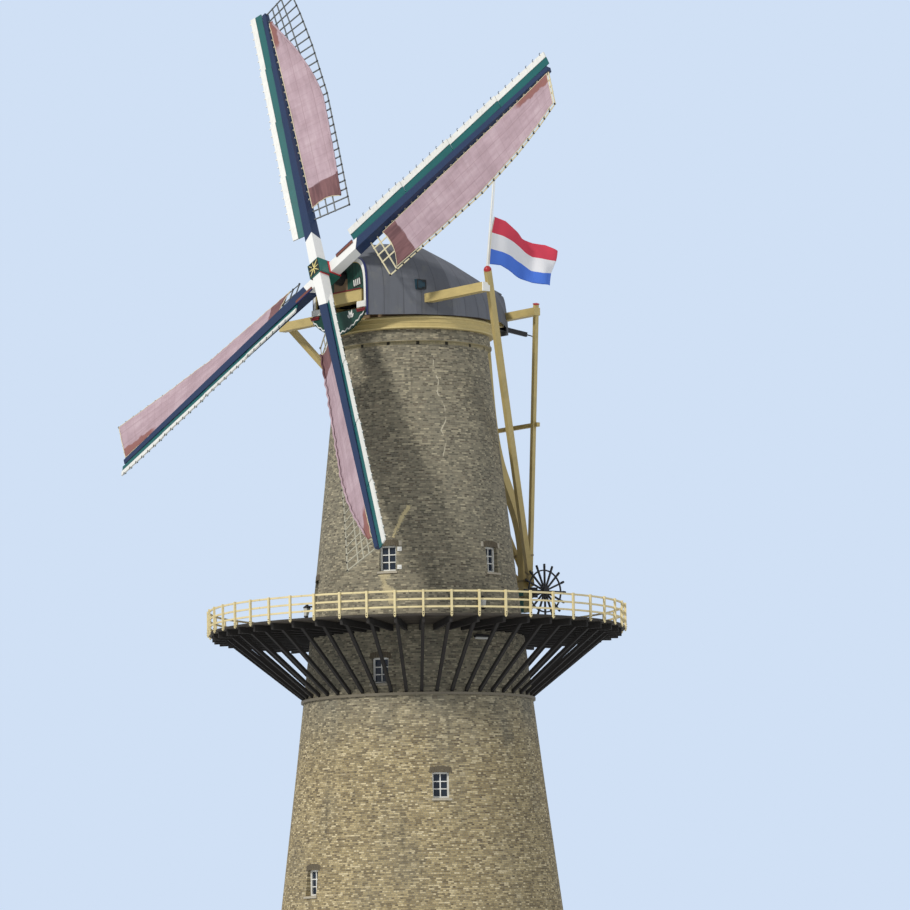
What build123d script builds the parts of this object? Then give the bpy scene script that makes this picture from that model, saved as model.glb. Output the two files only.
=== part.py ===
from build123d import *
import math
import os

# Traditional brick tower windmill with a stage, at half its real size.
# Millimetres, +Z up, the sails face -Y, the origin is the middle of the tower's foot.

# Tower
wall_foot_radius = 3095.0
wall_stage_radius = 2062.0
wall_top_radius = 1470.0
wall_foot_thickness = 500.0
wall_top_thickness = 270.0
wall_top = 13800.0
wall_segments = 8
wall_start_angle = 15.0
wall_rings = (0.0, 2800.0, 5600.0, 8330.0, 10100.0, 11900.0, 13800.0)
seat_gap = 0.3
cut_inside = 1200.0
cut_outside = 300.0
long_way = 9000.0

# Cornice and curb
cornice_height = 230.0
cornice_overhang = 45.0
cornice_ledge = 40.0
cornice_slope = 10.0
curb_height = 245.0
curb_radius = 1590.0
curb_bore_radius = 1300.0

# Floors
floor_levels = (2660.0, 4460.0, 6660.0, 8330.0)
floor_thickness = 60.0
ground_slab = 50.0

# Windows and doors: bearing in degrees from +X, height of the middle
stage_window_bearings = (-55.5, 10.5, 124.5, -169.5)
stage_window_height = 9575.0
low_windows = ((-58.6, 7425.0), (121.4, 7425.0), (-29.7, 5220.0), (150.3, 5220.0),
               (-90.9, 3450.0), (89.1, 3450.0))
window_width = 330.0
window_height = 490.0
window_frame_width = 34.0
window_frame_depth = 60.0
window_recess = 70.0
glass_thickness = 6.0
stage_door_bearings = (60.0, -120.0)
stage_door_width = 460.0
stage_door_height = 980.0
entrance_bearings = (-90.0, 90.0)
entrance_width = 1100.0
entrance_height = 1350.0
door_thickness = 40.0
door_recess = 90.0

# Stage
deck_top = 8330.0
deck_thickness = 40.0
post_count = 48
post_size = 40.0
post_inner_distance = 4030.0
post_top = 8768.0
post_bottom = 8285.0
knob_height = 22.0
knob_tip_radius = 12.0
rail_heights = (8742.0, 8592.0, 8450.0)
rail_height = 34.0
rail_thickness = 24.0
bays_per_rail = 2
rail_joint = 0.05
deck_sectors = 8
deck_joint = 2.0
joist_count = 48
joist_width = 56.0
joist_depth = 120.0
joist_overhang = 60.0
strut_size = 60.0
strut_head_radius = 3700.0
strut_foot_height = 6990.0
ledge_height = 50.0
ledge_depth = 45.0

# Cap frame
cap_ring_height = 80.0
cap_ring_radius = 1480.0
sheer_spacing = 1120.0
sheer_width = 140.0
sheer_depth = 240.0
sheer_front = -1750.0
sheer_back = 1830.0
long_sprit_y = -750.0
long_sprit_half = 3180.0
long_sprit_size = 170.0
long_sprit_notch = 75.0
short_sprit_y = 1650.0
short_sprit_half = 1850.0
short_sprit_size = 150.0
short_sprit_notch = 175.0
weather_beam_half = 635.0
weather_beam_height = 225.0
weather_beam_depth = 220.0
neck_block_width = 420.0
neck_block_height = 240.0
neck_space = 45.0
tail_beam_y = 780.0
tail_beam_depth = 170.0
tail_beam_height = 300.0

# Cap cover: distance behind the tower's axis, half width at the eave, height of the ridge, roundness
eave_height = 14290.0
cover_sections = (
    (-1750.0, 815.0, 15430.0, 6.0),
    (-1375.0, 1100.0, 15630.0, 4.0),
    (-1000.0, 1380.0, 15800.0, 2.9),
    (-250.0, 1640.0, 15850.0, 2.1),
    (350.0, 1670.0, 15700.0, 1.8),
    (1100.0, 1430.0, 15410.0, 1.8),
    (1650.0, 960.0, 15270.0, 1.8),
    (2100.0, 440.0, 15185.0, 1.7),
    (2350.0, 150.0, 15090.0, 1.65),
)
cover_thickness = 40.0
cover_points = 11
gable_thickness = 36.0
verge_width = 60.0
verge_thickness = 38.0
verge_proud = 6.0
beard_half = 825.0
beard_top = 14425.0
beard_side = 14350.0
beard_bottom = 13980.0
beard_thickness = 36.0
beard_points = 8
beard_roundness = 0.8
hatch_y = -890.0
hatch_height = 14870.0
hatch_width = 220.0
hatch_tall = 190.0
hatch_depth = 240.0
hatch_proud = 15.0
flag_pole_y = 1907.0
flag_pole_foot = 15178.0
flag_pole_length = 2912.0
flag_pole_lean = 6.7
flag_pole_radius = 26.0
flag_pole_taper = 0.6
flag_thickness = 14.0
flag_top = 16690.0
flag_sway = 60.0
flag_waves = 1.25

# Flag stations: distance from the pole along the wind, drop of the upper edge, height of the cloth
flag_stations = (
    (0.0, 0.0, 975.0),
    (260.0, 80.0, 900.0),
    (520.0, 230.0, 850.0),
    (800.0, 375.0, 820.0),
    (1090.0, 440.0, 815.0),
    (1380.0, 460.0, 820.0),
    (1610.0, 560.0, 715.0),
)

# Tail
tail_top = (1790.0, 14560.0)
tail_bend = (2180.0, 11700.0)
tail_straight = (2745.0, 9800.0)
tail_foot_height = 8800.0
tail_size = 160.0
tail_head_slope = 0.16
brace_foot_height = 9330.0
short_brace_rise = 300.0
long_brace_size = 110.0
short_brace_size = 80.0
long_brace_over = 400.0
short_brace_over = 170.0
brace_foot_behind = 70.0
long_brace_head_inset = 80.0
short_brace_head_inset = 190.0
brace_notch_rest = 14.0
tie_beam_height = 12400.0
tie_beam_size = 80.0
tie_beam_half = 1100.0

# Winch
winch_over_deck = 330.0
winch_y = 2930.0
winch_wheel_x = 420.0
winch_radius = 425.0
winch_rim = 26.0
winch_spokes = 16
winch_handle_reach = 540.0
winch_handle = 32.0
winch_axle_radius = 26.0
winch_drum_radius = 62.0
winch_cheek = 30.0
winch_cheek_reach = 90.0
winch_cheek_height = 200.0
winch_hub_radius = 75.0
winch_hub_length = 90.0
winch_end_space = 6.0
winch_cheek_spacing = 170.0
shaft_clearance = 0.3

# Sails
hub_forward = 2155.0
hub_height = 15188.0
shaft_tilt = 11.95
rest_angle = 28.5
stock_spacing = 236.0
stock_half_length = 6650.0
stock_root_size = 222.0
stock_tip_size = 100.0
poll_size = 322.0
poll_front = 255.0
poll_back = 245.0
neck_radius = 150.0
shaft_radius = 140.0
shaft_step = 60.0
journal_radius = 60.0
bar_count = 28
first_bar = 1220.0
bar_spacing = 200.0
bar_width = 22.0
bar_thickness = 20.0
lath_parts = (0.28, 0.46, 0.64, 0.984)
lath_width = 26.0
lath_thickness = 14.0
board_count = 4
board_root = 920.0
board_width = 146.0
board_thickness = 16.0
board_housing = 2.0
board_root_angle = 26.0
board_tip_angle = 13.0
board_joint = 6.0
board_space = 12.0
leading_width = 118.0
leading_thickness = 28.0
cloth_thickness = 8.0
cloth_stock_space = 40.0

# Lattice stations: number of the bar, twist in degrees, width behind the stock's middle
lattice_stations = (
    (0, 26.5, 890.0),
    (7, 24.5, 930.0),
    (14, 22.0, 960.0),
    (20, 13.5, 932.0),
    (24, 5.0, 900.0),
    (27, -3.0, 870.0),
)

# Outer edges of the sail cloths: radius, distance behind the stock's middle
full_cloth = (
    (1600.0, 850.0), (2620.0, 885.0), (4020.0, 915.0),
    (5220.0, 888.0), (6020.0, 858.0), (6600.0, 832.0),
)
reefed_cloth = (
    (1480.0, 754.0), (2070.0, 788.0), (2800.0, 819.0),
    (3830.0, 860.0), (4210.0, 835.0), (4670.0, 753.0),
    (5390.0, 542.0), (5810.0, 371.0), (6350.0, 160.0),
)

# Worked out from the sizes above
wall_stage_height = deck_top
cornice_top = wall_top + cornice_height
curb_top = cornice_top + curb_height
cap_ring_bottom = curb_top + seat_gap
sheer_bottom = cap_ring_bottom + cap_ring_height
sheer_top = sheer_bottom + sheer_depth
long_sprit_bottom = sheer_top - long_sprit_notch
short_sprit_bottom = sheer_top - short_sprit_notch
winch_height = deck_top + winch_handle_reach + winch_over_deck
tilt = math.radians(shaft_tilt)
shaft_direction = Vector(0, -math.cos(tilt), math.sin(tilt))
sail_up = Vector(0, math.sin(tilt), math.cos(tilt))
sail_side = shaft_direction.cross(sail_up)
hub = Vector(0, -hub_forward, hub_height)


def save(name, *solids):
    export_step(Compound(list(solids)), os.path.join("parts", name + ".step"))


def between(table, place):
    """Values of a table at a place between its rows; each row starts with its own place."""
    for low, high in zip(table, table[1:]):
        if place <= high[0]:
            break
    share = (place - low[0]) / (high[0] - low[0])
    return [a + (b - a) * share for a, b in zip(low[1:], high[1:])]


def curve_radius(z):
    """Outer radius of the hollow-sided tower at a height, on its smooth curve."""
    share = z / wall_top
    middle_share = wall_stage_height / wall_top
    straight = wall_foot_radius + (wall_top_radius - wall_foot_radius) * middle_share
    hollow = (straight - wall_stage_radius) / (middle_share * (1 - middle_share))
    line = wall_foot_radius + (wall_top_radius - wall_foot_radius) * share
    return line - hollow * share * (1 - share)


def outer_radius(z):
    """Outer radius of the brickwork, which runs straight between its rings."""
    return between([(ring, curve_radius(ring)) for ring in wall_rings], z)[0]


def inner_radius(z):
    share = z / wall_top
    return outer_radius(z) - wall_foot_thickness - (wall_top_thickness - wall_foot_thickness) * share


def turned(profile, start, sweep):
    """Solid made by turning an outline of (radius, height) points about the tower's axis."""
    outline = Face(Wire.make_polygon([Vector(r, 0, z) for r, z in profile], close=True))
    return revolve(outline, Axis.Z, sweep).rotate(Axis.Z, start)


def radial_box(bearing, near, far, width, low, high):
    """Box that runs outwards from the axis at a bearing."""
    block = Box(far - near, width, high - low)
    return block.moved(Location((0.5 * (near + far), 0, 0.5 * (low + high)))).rotate(Axis.Z, bearing)


def beam(start, end, width, depth, across):
    """Straight square-sawn timber between two points; width lies along the direction across."""
    start = Vector(*start)
    along = Vector(*end) - start
    side = Vector(*across)
    side = side - along * (side.dot(along) / along.dot(along))
    plane = Plane(origin=start, x_dir=side.normalized(), z_dir=along.normalized())
    return extrude(plane * Rectangle(width, depth), amount=along.length)


def skin(sections):
    """Solid with straight rulings through closed outlines."""
    return Solid.make_loft([Wire.make_polygon(points, close=True) for points in sections], ruled=True)


def wall_cut(bearing, width, low, high):
    """Box that cuts an opening right through the wall."""
    r = outer_radius(max(low, 0))
    return radial_box(bearing, r - cut_inside, r + cut_outside, width, low, high)


def opening_frame(bearing, height, width, tall):
    """Timber frame that lines an opening in the wall."""
    outer = outer_radius(height + tall / 2) - window_recess
    low = height - tall / 2 + seat_gap
    high = height + tall / 2 - seat_gap
    rim = window_frame_width
    frame = radial_box(bearing, outer - window_frame_depth, outer, width - 2 * seat_gap, low, high)
    hole = radial_box(bearing, outer - cut_inside, outer + cut_outside, width - 2 * rim,
                      low + rim, high - rim)
    return frame - hole


def pane(bearing, height, width, tall):
    outer = outer_radius(height + tall / 2) - window_recess - window_frame_depth / 2
    gap = window_frame_width + seat_gap
    return radial_box(bearing, outer - glass_thickness, outer, width - 2 * gap,
                      height - tall / 2 + gap + seat_gap, height + tall / 2 - gap - seat_gap)


windows = [(bearing, stage_window_height) for bearing in stage_window_bearings] + list(low_windows)


def wall_openings():
    half = window_height / 2
    cuts = [wall_cut(bearing, window_width, height - half, height + half) for bearing, height in windows]
    for bearing in stage_door_bearings:
        cuts.append(wall_cut(bearing, stage_door_width, deck_top, deck_top + stage_door_height))
    for bearing in entrance_bearings:
        cuts.append(wall_cut(bearing, entrance_width, -ground_slab, entrance_height))
    return cuts


def wall_tier(bottom, top):
    """Segments of the wall between two heights, with the openings cut through."""
    heights = [z for z in wall_rings if bottom <= z <= top]
    profile = [(inner_radius(z), z) for z in heights] + [(outer_radius(z), z) for z in reversed(heights)]
    sweep = 360.0 / wall_segments
    cuts = wall_openings()
    segments = []
    for i in range(wall_segments):
        segment = turned(profile, wall_start_angle + i * sweep, sweep)
        for cut in cuts:
            box = cut.bounding_box()
            other = segment.bounding_box()
            apart = (box.min.Z > other.max.Z or box.max.Z < other.min.Z or box.min.X > other.max.X
                     or box.max.X < other.min.X or box.min.Y > other.max.Y or box.max.Y < other.min.Y)
            if not apart:
                segment = segment - cut
        segments.append(segment)
    return segments


def make_tower():
    lower = wall_tier(0.0, wall_stage_height)
    upper = wall_tier(wall_stage_height, wall_top)
    save("lower_wall_a", *lower[0::2])
    save("lower_wall_b", *lower[1::2])
    save("upper_wall_a", *upper[0::2])
    save("upper_wall_b", *upper[1::2])

    inner = inner_radius(wall_top)
    wide = wall_top_radius + cornice_overhang
    ledge_top = wall_top + cornice_ledge
    profile = [(inner, wall_top), (wide + cornice_ledge, wall_top), (wide + cornice_ledge, ledge_top),
               (wide, ledge_top + cornice_slope), (wide, cornice_top), (inner, cornice_top)]
    save("brick_cornice", turned(profile, 0, 360))
    profile = [(curb_bore_radius, cornice_top), (curb_radius, cornice_top), (curb_radius, curb_top),
               (curb_bore_radius, curb_top)]
    save("curb_ring", turned(profile, 0, 360))

    floors = []
    for level in floor_levels:
        r = inner_radius(level) - seat_gap
        floors.append(Cylinder(r, floor_thickness).moved(Location((0, 0, level - floor_thickness / 2))))
    save("floors", *floors)
    r = inner_radius(ground_slab) - seat_gap
    save("ground_floor", Cylinder(r, ground_slab).moved(Location((0, 0, ground_slab / 2))))


def make_openings():
    save("window_frames", *[opening_frame(b, z, window_width, window_height) for b, z in windows])
    save("window_glass", *[pane(b, z, window_width, window_height) for b, z in windows])
    doors = []
    for bearing in stage_door_bearings:
        outer = outer_radius(deck_top + stage_door_height) - door_recess
        doors.append(radial_box(bearing, outer - door_thickness, outer, stage_door_width - 2 * seat_gap,
                                deck_top + seat_gap, deck_top + stage_door_height - seat_gap))
    save("stage_doors", *doors)
    doors = []
    for bearing in entrance_bearings:
        outer = outer_radius(entrance_height) - door_recess
        doors.append(radial_box(bearing, outer - door_thickness, outer, entrance_width - 2 * seat_gap,
                                ground_slab, entrance_height - seat_gap))
    save("entrance_doors", *doors)


def deck_sector(index):
    sweep = 360.0 / deck_sectors
    step = 360.0 / post_count
    inner = outer_radius(deck_top - deck_thickness) + deck_joint
    corner = post_inner_distance / math.cos(math.radians(step / 2))
    gap_angle = math.degrees(deck_joint / 2 / inner)
    start = index * sweep
    angles = [start + step * (j + 0.5) for j in range(post_count // deck_sectors)]
    first = math.radians(start + gap_angle)
    last = math.radians(start + sweep - gap_angle)
    outline = [(inner * math.cos(first), inner * math.sin(first)),
               (post_inner_distance * math.cos(first), post_inner_distance * math.sin(first))]
    outline += [(corner * math.cos(math.radians(a)), corner * math.sin(math.radians(a))) for a in angles]
    outline += [(post_inner_distance * math.cos(last), post_inner_distance * math.sin(last)),
                (inner * math.cos(last), inner * math.sin(last))]
    middle = math.radians(start + sweep / 2)
    edge = Polyline(*outline)
    bow = ThreePointArc(outline[-1], (inner * math.cos(middle), inner * math.sin(middle)), outline[0])
    face = make_face([edge, bow])
    return extrude(face, amount=deck_thickness).moved(Location((0, 0, deck_top - deck_thickness)))


def rail(index, height):
    """Rail along two bays, bent at the post in its middle."""
    step = 360.0 / post_count
    start = index * bays_per_rail * step
    stations = (start + 0.5 * step + rail_joint, start + 1.5 * step, start + 2.5 * step - rail_joint)
    outside = post_inner_distance - seat_gap
    far = outside / math.cos(math.radians(step / 2))
    near = (outside - rail_thickness) / math.cos(math.radians(step / 2))
    outline = [(far * math.cos(math.radians(a)), far * math.sin(math.radians(a))) for a in stations]
    outline += [(near * math.cos(math.radians(a)), near * math.sin(math.radians(a)))
                for a in reversed(stations)]
    face = make_face(Polyline(*outline, close=True))
    return extrude(face, amount=rail_height).moved(Location((0, 0, height - rail_height / 2)))


def post(bearing):
    middle = post_inner_distance + post_size / 2
    body = radial_box(bearing, post_inner_distance, post_inner_distance + post_size, post_size,
                      post_bottom, post_top)
    knob = Cone(knob_tip_radius, post_size / 2, knob_height)
    knob = knob.moved(Location((middle, 0, post_bottom - knob_height / 2)))
    return body + knob.rotate(Axis.Z, bearing)


def strut(bearing):
    """Raking strut from the wall up to the underside of a joist."""
    head_height = deck_top - deck_thickness - joist_depth
    foot_radius = outer_radius(strut_foot_height) + seat_gap
    slope = math.atan2(head_height - strut_foot_height, strut_head_radius - foot_radius)
    reach = strut_size / math.sin(slope)
    rise = strut_size / math.cos(slope)
    outline = [(foot_radius, strut_foot_height), (strut_head_radius, head_height),
               (strut_head_radius - reach, head_height), (foot_radius, strut_foot_height + rise)]
    face = Face(Wire.make_polygon([Vector(r, -strut_size / 2, z) for r, z in outline], close=True))
    return extrude(face, amount=strut_size, dir=(0, 1, 0)).rotate(Axis.Z, bearing)


def make_stage():
    save("stage_deck", *[deck_sector(i) for i in range(deck_sectors)])
    step = 360.0 / joist_count
    low = deck_top - deck_thickness - joist_depth
    near = outer_radius(low) + seat_gap
    far = post_inner_distance - joist_overhang
    save("stage_joists", *[radial_box(i * step, near, far, joist_width, low, low + joist_depth)
                           for i in range(joist_count)])
    save("stage_struts", *[strut(i * step) for i in range(joist_count)])
    near = outer_radius(strut_foot_height - ledge_height) + seat_gap
    far = near + ledge_depth
    low = strut_foot_height - ledge_height
    high = strut_foot_height - seat_gap
    profile = [(near, low), (far, low), (far, high), (near, high)]
    save("strut_ledge", turned(profile, 0, 360))
    post_step = 360.0 / post_count
    save("railing_posts", *[post(i * post_step) for i in range(post_count)])
    count = post_count // bays_per_rail
    save("railing_rails", *[rail(i, height) for height in rail_heights for i in range(count)])


def cover_outline(y, half, ridge, roundness, inset):
    """Half-round outline of the cap across the mill, at a distance behind the axis."""
    width = half - inset
    rise = ridge - inset - eave_height
    points = []
    for i in range(-cover_points, cover_points + 1):
        angle = math.radians(90.0 * i / cover_points)
        x = width * math.copysign(abs(math.sin(angle)) ** (2 / roundness), angle)
        z = eave_height + rise * abs(math.cos(angle)) ** (2 / roundness)
        points.append(Vector(x, y, z))
    return points


def cover_half(y, z):
    """Half the width of the cap cover at a distance behind the axis and a height."""
    half, ridge, roundness = between(cover_sections, y)
    return half * (1 - ((z - eave_height) / (ridge - eave_height)) ** roundness) ** (1 / roundness)


def hatch_box(gap):
    """Small door that stands a little proud of the cap's left side."""
    face = cover_half(hatch_y, hatch_height - hatch_tall / 2) + hatch_proud
    block = Box(hatch_depth + 2 * gap, hatch_width + 2 * gap, hatch_tall + 2 * gap)
    return block.moved(Location((face - hatch_depth / 2, hatch_y, hatch_height)))


def sprit_box(y, bottom, size, half, gap):
    block = Box(2 * half, size + 2 * gap, size + 2 * gap)
    return block.moved(Location((0, y, bottom + size / 2)))


def long_sprit_timber(gap):
    return sprit_box(long_sprit_y, long_sprit_bottom, long_sprit_size, long_sprit_half, gap)


def short_sprit_timber(gap):
    return sprit_box(short_sprit_y, short_sprit_bottom, short_sprit_size, short_sprit_half, gap)


def make_cap_frame():
    profile = [(curb_bore_radius, cap_ring_bottom), (cap_ring_radius, cap_ring_bottom),
               (cap_ring_radius, sheer_bottom), (curb_bore_radius, sheer_bottom)]
    save("cap_ring", turned(profile, 0, 360))
    long_sprit = long_sprit_timber(0)
    short_sprit = short_sprit_timber(0)
    sheers = []
    for side in (-1, 1):
        length = sheer_back - sheer_front
        timber = Box(sheer_width, length, sheer_depth)
        middle = (side * sheer_spacing / 2, sheer_front + length / 2, sheer_bottom + sheer_depth / 2)
        timber = timber.moved(Location(middle))
        sheers.append(timber - long_sprit - short_sprit)
    save("sheers", *sheers)
    save("long_sprit", long_sprit)
    save("short_sprit", short_sprit)

    y = sheer_front + weather_beam_depth / 2
    timber = Box(2 * weather_beam_half, weather_beam_depth, weather_beam_height)
    timber = timber.moved(Location((0, y, sheer_top + weather_beam_height / 2)))
    block = Box(neck_block_width, weather_beam_depth, neck_block_height)
    block = block.moved(Location((0, y, sheer_top + weather_beam_height + neck_block_height / 2)))
    save("weather_beam", timber)
    neck = Plane(origin=hub, z_dir=-shaft_direction) * Cylinder(neck_radius + shaft_clearance, long_way)
    save("neck_bearing", block - neck)
    tail = Box(sheer_spacing - sheer_width, tail_beam_depth, tail_beam_height)
    tail = tail.moved(Location((0, tail_beam_y, sheer_bottom + tail_beam_height / 2)))
    bore = Plane(origin=hub, z_dir=-shaft_direction) * Cylinder(journal_radius + shaft_clearance, long_way)
    save("tail_bearing_beam", tail - bore)


def make_cap_cover():
    outside = skin([cover_outline(*section, 0) for section in cover_sections])
    inner_sections = [cover_outline(*section, cover_thickness) for section in cover_sections]
    inner_sections[0] = [p - Vector(0, cover_thickness, 0) for p in inner_sections[0]]
    inner_sections[-1] = [p - Vector(0, cover_thickness, 0) for p in inner_sections[-1]]
    inside = skin(inner_sections)
    below = Box(long_way, long_way, cover_thickness)
    below = below.moved(Location((0, 0, eave_height - cover_thickness / 2)))
    shell = outside - inside - below - hatch_box(seat_gap)
    save("cap_hatch", hatch_box(0))
    shell = shell - long_sprit_timber(seat_gap) - short_sprit_timber(seat_gap)
    save("cap_cover", shell - flag_staff(shaft_clearance))

    front_y, half, ridge, roundness = cover_sections[0]
    low = sheer_top + weather_beam_height
    outline = [p for p in cover_outline(*cover_sections[0], cover_thickness + seat_gap) if p.Z >= low]
    widest = outline[0].X
    outline = [Vector(widest, front_y, low)] + outline + [Vector(-widest, front_y, low)]
    gable = extrude(Face(Wire.make_polygon(outline, close=True)), amount=gable_thickness, dir=(0, 1, 0))
    neck = Plane(origin=hub, z_dir=-shaft_direction) * Cylinder(neck_radius + neck_space, long_way)
    bay = Box(neck_block_width + 2 * seat_gap, 4 * gable_thickness, neck_block_height + seat_gap)
    bay = bay.moved(Location((0, front_y, low + (neck_block_height + seat_gap) / 2)))
    save("front_gable", gable - neck - bay)

    outer_rim = cover_outline(front_y, half + verge_proud, ridge + verge_proud, roundness, 0)
    inner_rim = cover_outline(front_y, half, ridge, roundness, verge_width)
    band = Face(Wire.make_polygon(outer_rim + list(reversed(inner_rim)), close=True))
    verge = extrude(band, amount=verge_thickness, dir=(0, -1, 0))
    save("gable_verge", verge.moved(Location((0, -seat_gap, 0))))


def make_beard():
    y = sheer_front - verge_thickness - 2 * seat_gap - beard_thickness
    outline = []
    for i in range(-beard_points, beard_points + 1):
        share = i / beard_points
        z = beard_side - (beard_side - beard_bottom) * abs(math.cos(math.pi / 2 * share)) ** beard_roundness
        outline.append(Vector(share * beard_half, y, z))
    outline += [Vector(beard_half, y, beard_top), Vector(-beard_half, y, beard_top)]
    shape = Face(Wire.make_polygon(outline, close=True))
    save("beard_board", extrude(shape, amount=beard_thickness, dir=(0, 1, 0)))


def brace_line(head_x, sprit_y, bottom, sprit_size, foot_height, size):
    """Middle line of the left brace of a pair, from the tail pole's side to behind the sprit's end."""
    foot_x = tail_size / 2 + seat_gap + size / 2
    head_y = sprit_y + sprit_size / 2 + size / 2 + brace_notch_rest
    foot = Vector(foot_x, tail_straight[0] + brace_foot_behind, foot_height)
    head = Vector(head_x, head_y, bottom + sprit_size / 2)
    return foot, head


def brace_pair(foot, head, size, over, sprit):
    """Two raking timbers from the ends of a sprit down to the sides of the tail pole."""
    side_gap = tail_size / 2 + seat_gap
    inside = Box(2 * side_gap, long_way, long_way).moved(Location((0, 0, foot.Z)))
    along = (head - foot).normalized()
    timber = beam(foot, head + along * over, size, size, (0, 1, 0)) - sprit - inside
    return [timber, timber.mirror(Plane.YZ)]


def make_tail():
    """Curved tail pole, with the long and short braces that meet at its foot."""
    top = Vector(0, *tail_top)
    straight = Vector(0, *tail_straight)
    head_way = Vector(0, tail_head_slope, -1)
    curve = Spline(top, Vector(0, *tail_bend), straight, tangents=[head_way, Vector(0, 0, -1)])
    start = Plane(origin=top, z_dir=curve % 0, x_dir=(1, 0, 0))
    foot = Box(tail_size, tail_size, tail_straight[1] - tail_foot_height)
    foot = foot.moved(Location((0, tail_straight[0], 0.5 * (tail_straight[1] + tail_foot_height))))
    pole = sweep(start * Rectangle(tail_size, tail_size), path=curve) + foot
    save("tail_pole", pole - short_sprit_timber(seat_gap))
    wide = tail_size + 2 * seat_gap
    pole_seat = sweep(start * Rectangle(wide, wide), path=curve)

    foot, head = brace_line(long_sprit_half - long_brace_head_inset, long_sprit_y, long_sprit_bottom,
                            long_sprit_size, brace_foot_height, long_brace_size)
    long_pair = brace_pair(foot, head, long_brace_size, long_brace_over, long_sprit_timber(seat_gap))
    save("long_braces", *long_pair)

    foot, head = brace_line(short_sprit_half - short_brace_head_inset, short_sprit_y, short_sprit_bottom,
                            short_sprit_size, brace_foot_height + short_brace_rise, short_brace_size)
    short_pair = brace_pair(foot, head, short_brace_size, short_brace_over, short_sprit_timber(seat_gap))
    save("short_braces", *short_pair)

    share = (tie_beam_height - foot.Z) / (head.Z - foot.Z)
    y = foot.Y + (head.Y - foot.Y) * share + tie_beam_size / 2 + seat_gap
    timber = Box(2 * tie_beam_half, tie_beam_size, tie_beam_size).moved(Location((0, y, tie_beam_height)))
    save("tie_beam", timber - short_pair[0] - short_pair[1] - pole_seat)


def flag_staff(clearance):
    lean = math.radians(flag_pole_lean)
    foot = Plane(origin=(0, flag_pole_y, flag_pole_foot), z_dir=(0, math.sin(lean), math.cos(lean)))
    tip_radius = flag_pole_taper * flag_pole_radius
    return foot * Cone(flag_pole_radius + clearance, tip_radius + clearance, flag_pole_length,
                       align=(Align.CENTER, Align.CENTER, Align.MIN))


def make_flag():
    lean = math.radians(flag_pole_lean)
    save("flag_pole", flag_staff(0))
    hoist_height = flag_stations[0][2]
    up_the_pole = (flag_top - hoist_height - flag_pole_foot) / math.cos(lean)
    pole_half = flag_pole_radius * (1 - (1 - flag_pole_taper) * up_the_pole / flag_pole_length)
    hoist_gap = pole_half / math.cos(lean) + seat_gap
    hoist_y = flag_pole_y + (flag_top - flag_pole_foot) * math.tan(lean) + hoist_gap
    sections = []
    for along, drop, height in flag_stations:
        share = along / flag_stations[-1][0]
        x = flag_sway * math.sin(2 * math.pi * share * flag_waves) * share
        z = flag_top - drop
        near = x - flag_thickness / 2
        far = x + flag_thickness / 2
        low_y = hoist_y + along - height * math.tan(lean)
        sections.append([Vector(near, hoist_y + along, z), Vector(far, hoist_y + along, z),
                         Vector(far, low_y, z - height), Vector(near, low_y, z - height)])
    save("flag", skin(sections))


def x_cylinder(radius, near, far, y, z):
    rod = Cylinder(radius, far - near).rotate(Axis.Y, 90)
    return rod.moved(Location((0.5 * (near + far), y, z)))


def make_winch():
    spread = winch_cheek_spacing / 2
    cheeks = []
    hole_radius = winch_axle_radius + shaft_clearance
    axle_hole = x_cylinder(hole_radius, -winch_wheel_x, winch_wheel_x, winch_y, winch_height)
    front = tail_straight[0] + tail_size / 2
    for side in (-1, 1):
        length = winch_y - front + winch_cheek_reach
        plate = Box(winch_cheek, length, winch_cheek_height)
        plate = plate.moved(Location((side * spread, front + length / 2, winch_height)))
        cheeks.append(plate - axle_hole)
    save("winch_cheeks", *cheeks)

    wheel_near = winch_wheel_x - winch_hub_length / 2
    wheel_far = winch_wheel_x + winch_hub_length / 2
    drum_end = spread - winch_cheek / 2 - winch_end_space
    axle = x_cylinder(winch_axle_radius, -spread - winch_cheek, wheel_far, winch_y, winch_height)
    drum = x_cylinder(winch_drum_radius, -drum_end, drum_end, winch_y, winch_height)
    hub_block = x_cylinder(winch_hub_radius, wheel_near, wheel_far, winch_y, winch_height)
    rim_near = winch_wheel_x - winch_rim / 2
    rim = x_cylinder(winch_radius, rim_near, rim_near + winch_rim, winch_y, winch_height)
    rim = rim - x_cylinder(winch_radius - winch_rim, wheel_near, wheel_far, winch_y, winch_height)
    spokes = []
    length = winch_handle_reach - winch_axle_radius
    for i in range(winch_spokes):
        spoke = Box(winch_handle, winch_handle, length)
        spoke = spoke.moved(Location((0, 0, winch_axle_radius + length / 2)))
        spoke = spoke.rotate(Axis.X, 360.0 * i / winch_spokes)
        spokes.append(spoke.moved(Location((winch_wheel_x, winch_y, winch_height))))
    save("capstan_wheel", axle.fuse(drum, hub_block, rim, *spokes))


def sail_place(angle, layer):
    """Frame of one sail: X outwards, Y towards its leading edge, Z to the front."""
    turn = math.radians(angle)
    outwards = sail_up * math.cos(turn) + sail_side * math.sin(turn)
    return Plane(origin=hub + shaft_direction * layer, x_dir=outwards, z_dir=shaft_direction).location


def stock_half(r):
    """Half the width of a stock, which tapers from the poll end to its tips."""
    share = max(r - poll_size, 0) / (stock_half_length - poll_size)
    return 0.5 * (stock_root_size + (stock_tip_size - stock_root_size) * share)


def lattice_at(r):
    """Twist in degrees and width of the lattice at a radius."""
    return between(lattice_stations, (r - first_bar) / bar_spacing)


def sail_point(r, distance):
    """Point of the twisted lattice at a radius, at a distance behind the stock's middle."""
    turn = math.radians(lattice_at(r)[0])
    return Vector(r, -distance * math.cos(turn), -distance * math.sin(turn))


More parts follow.
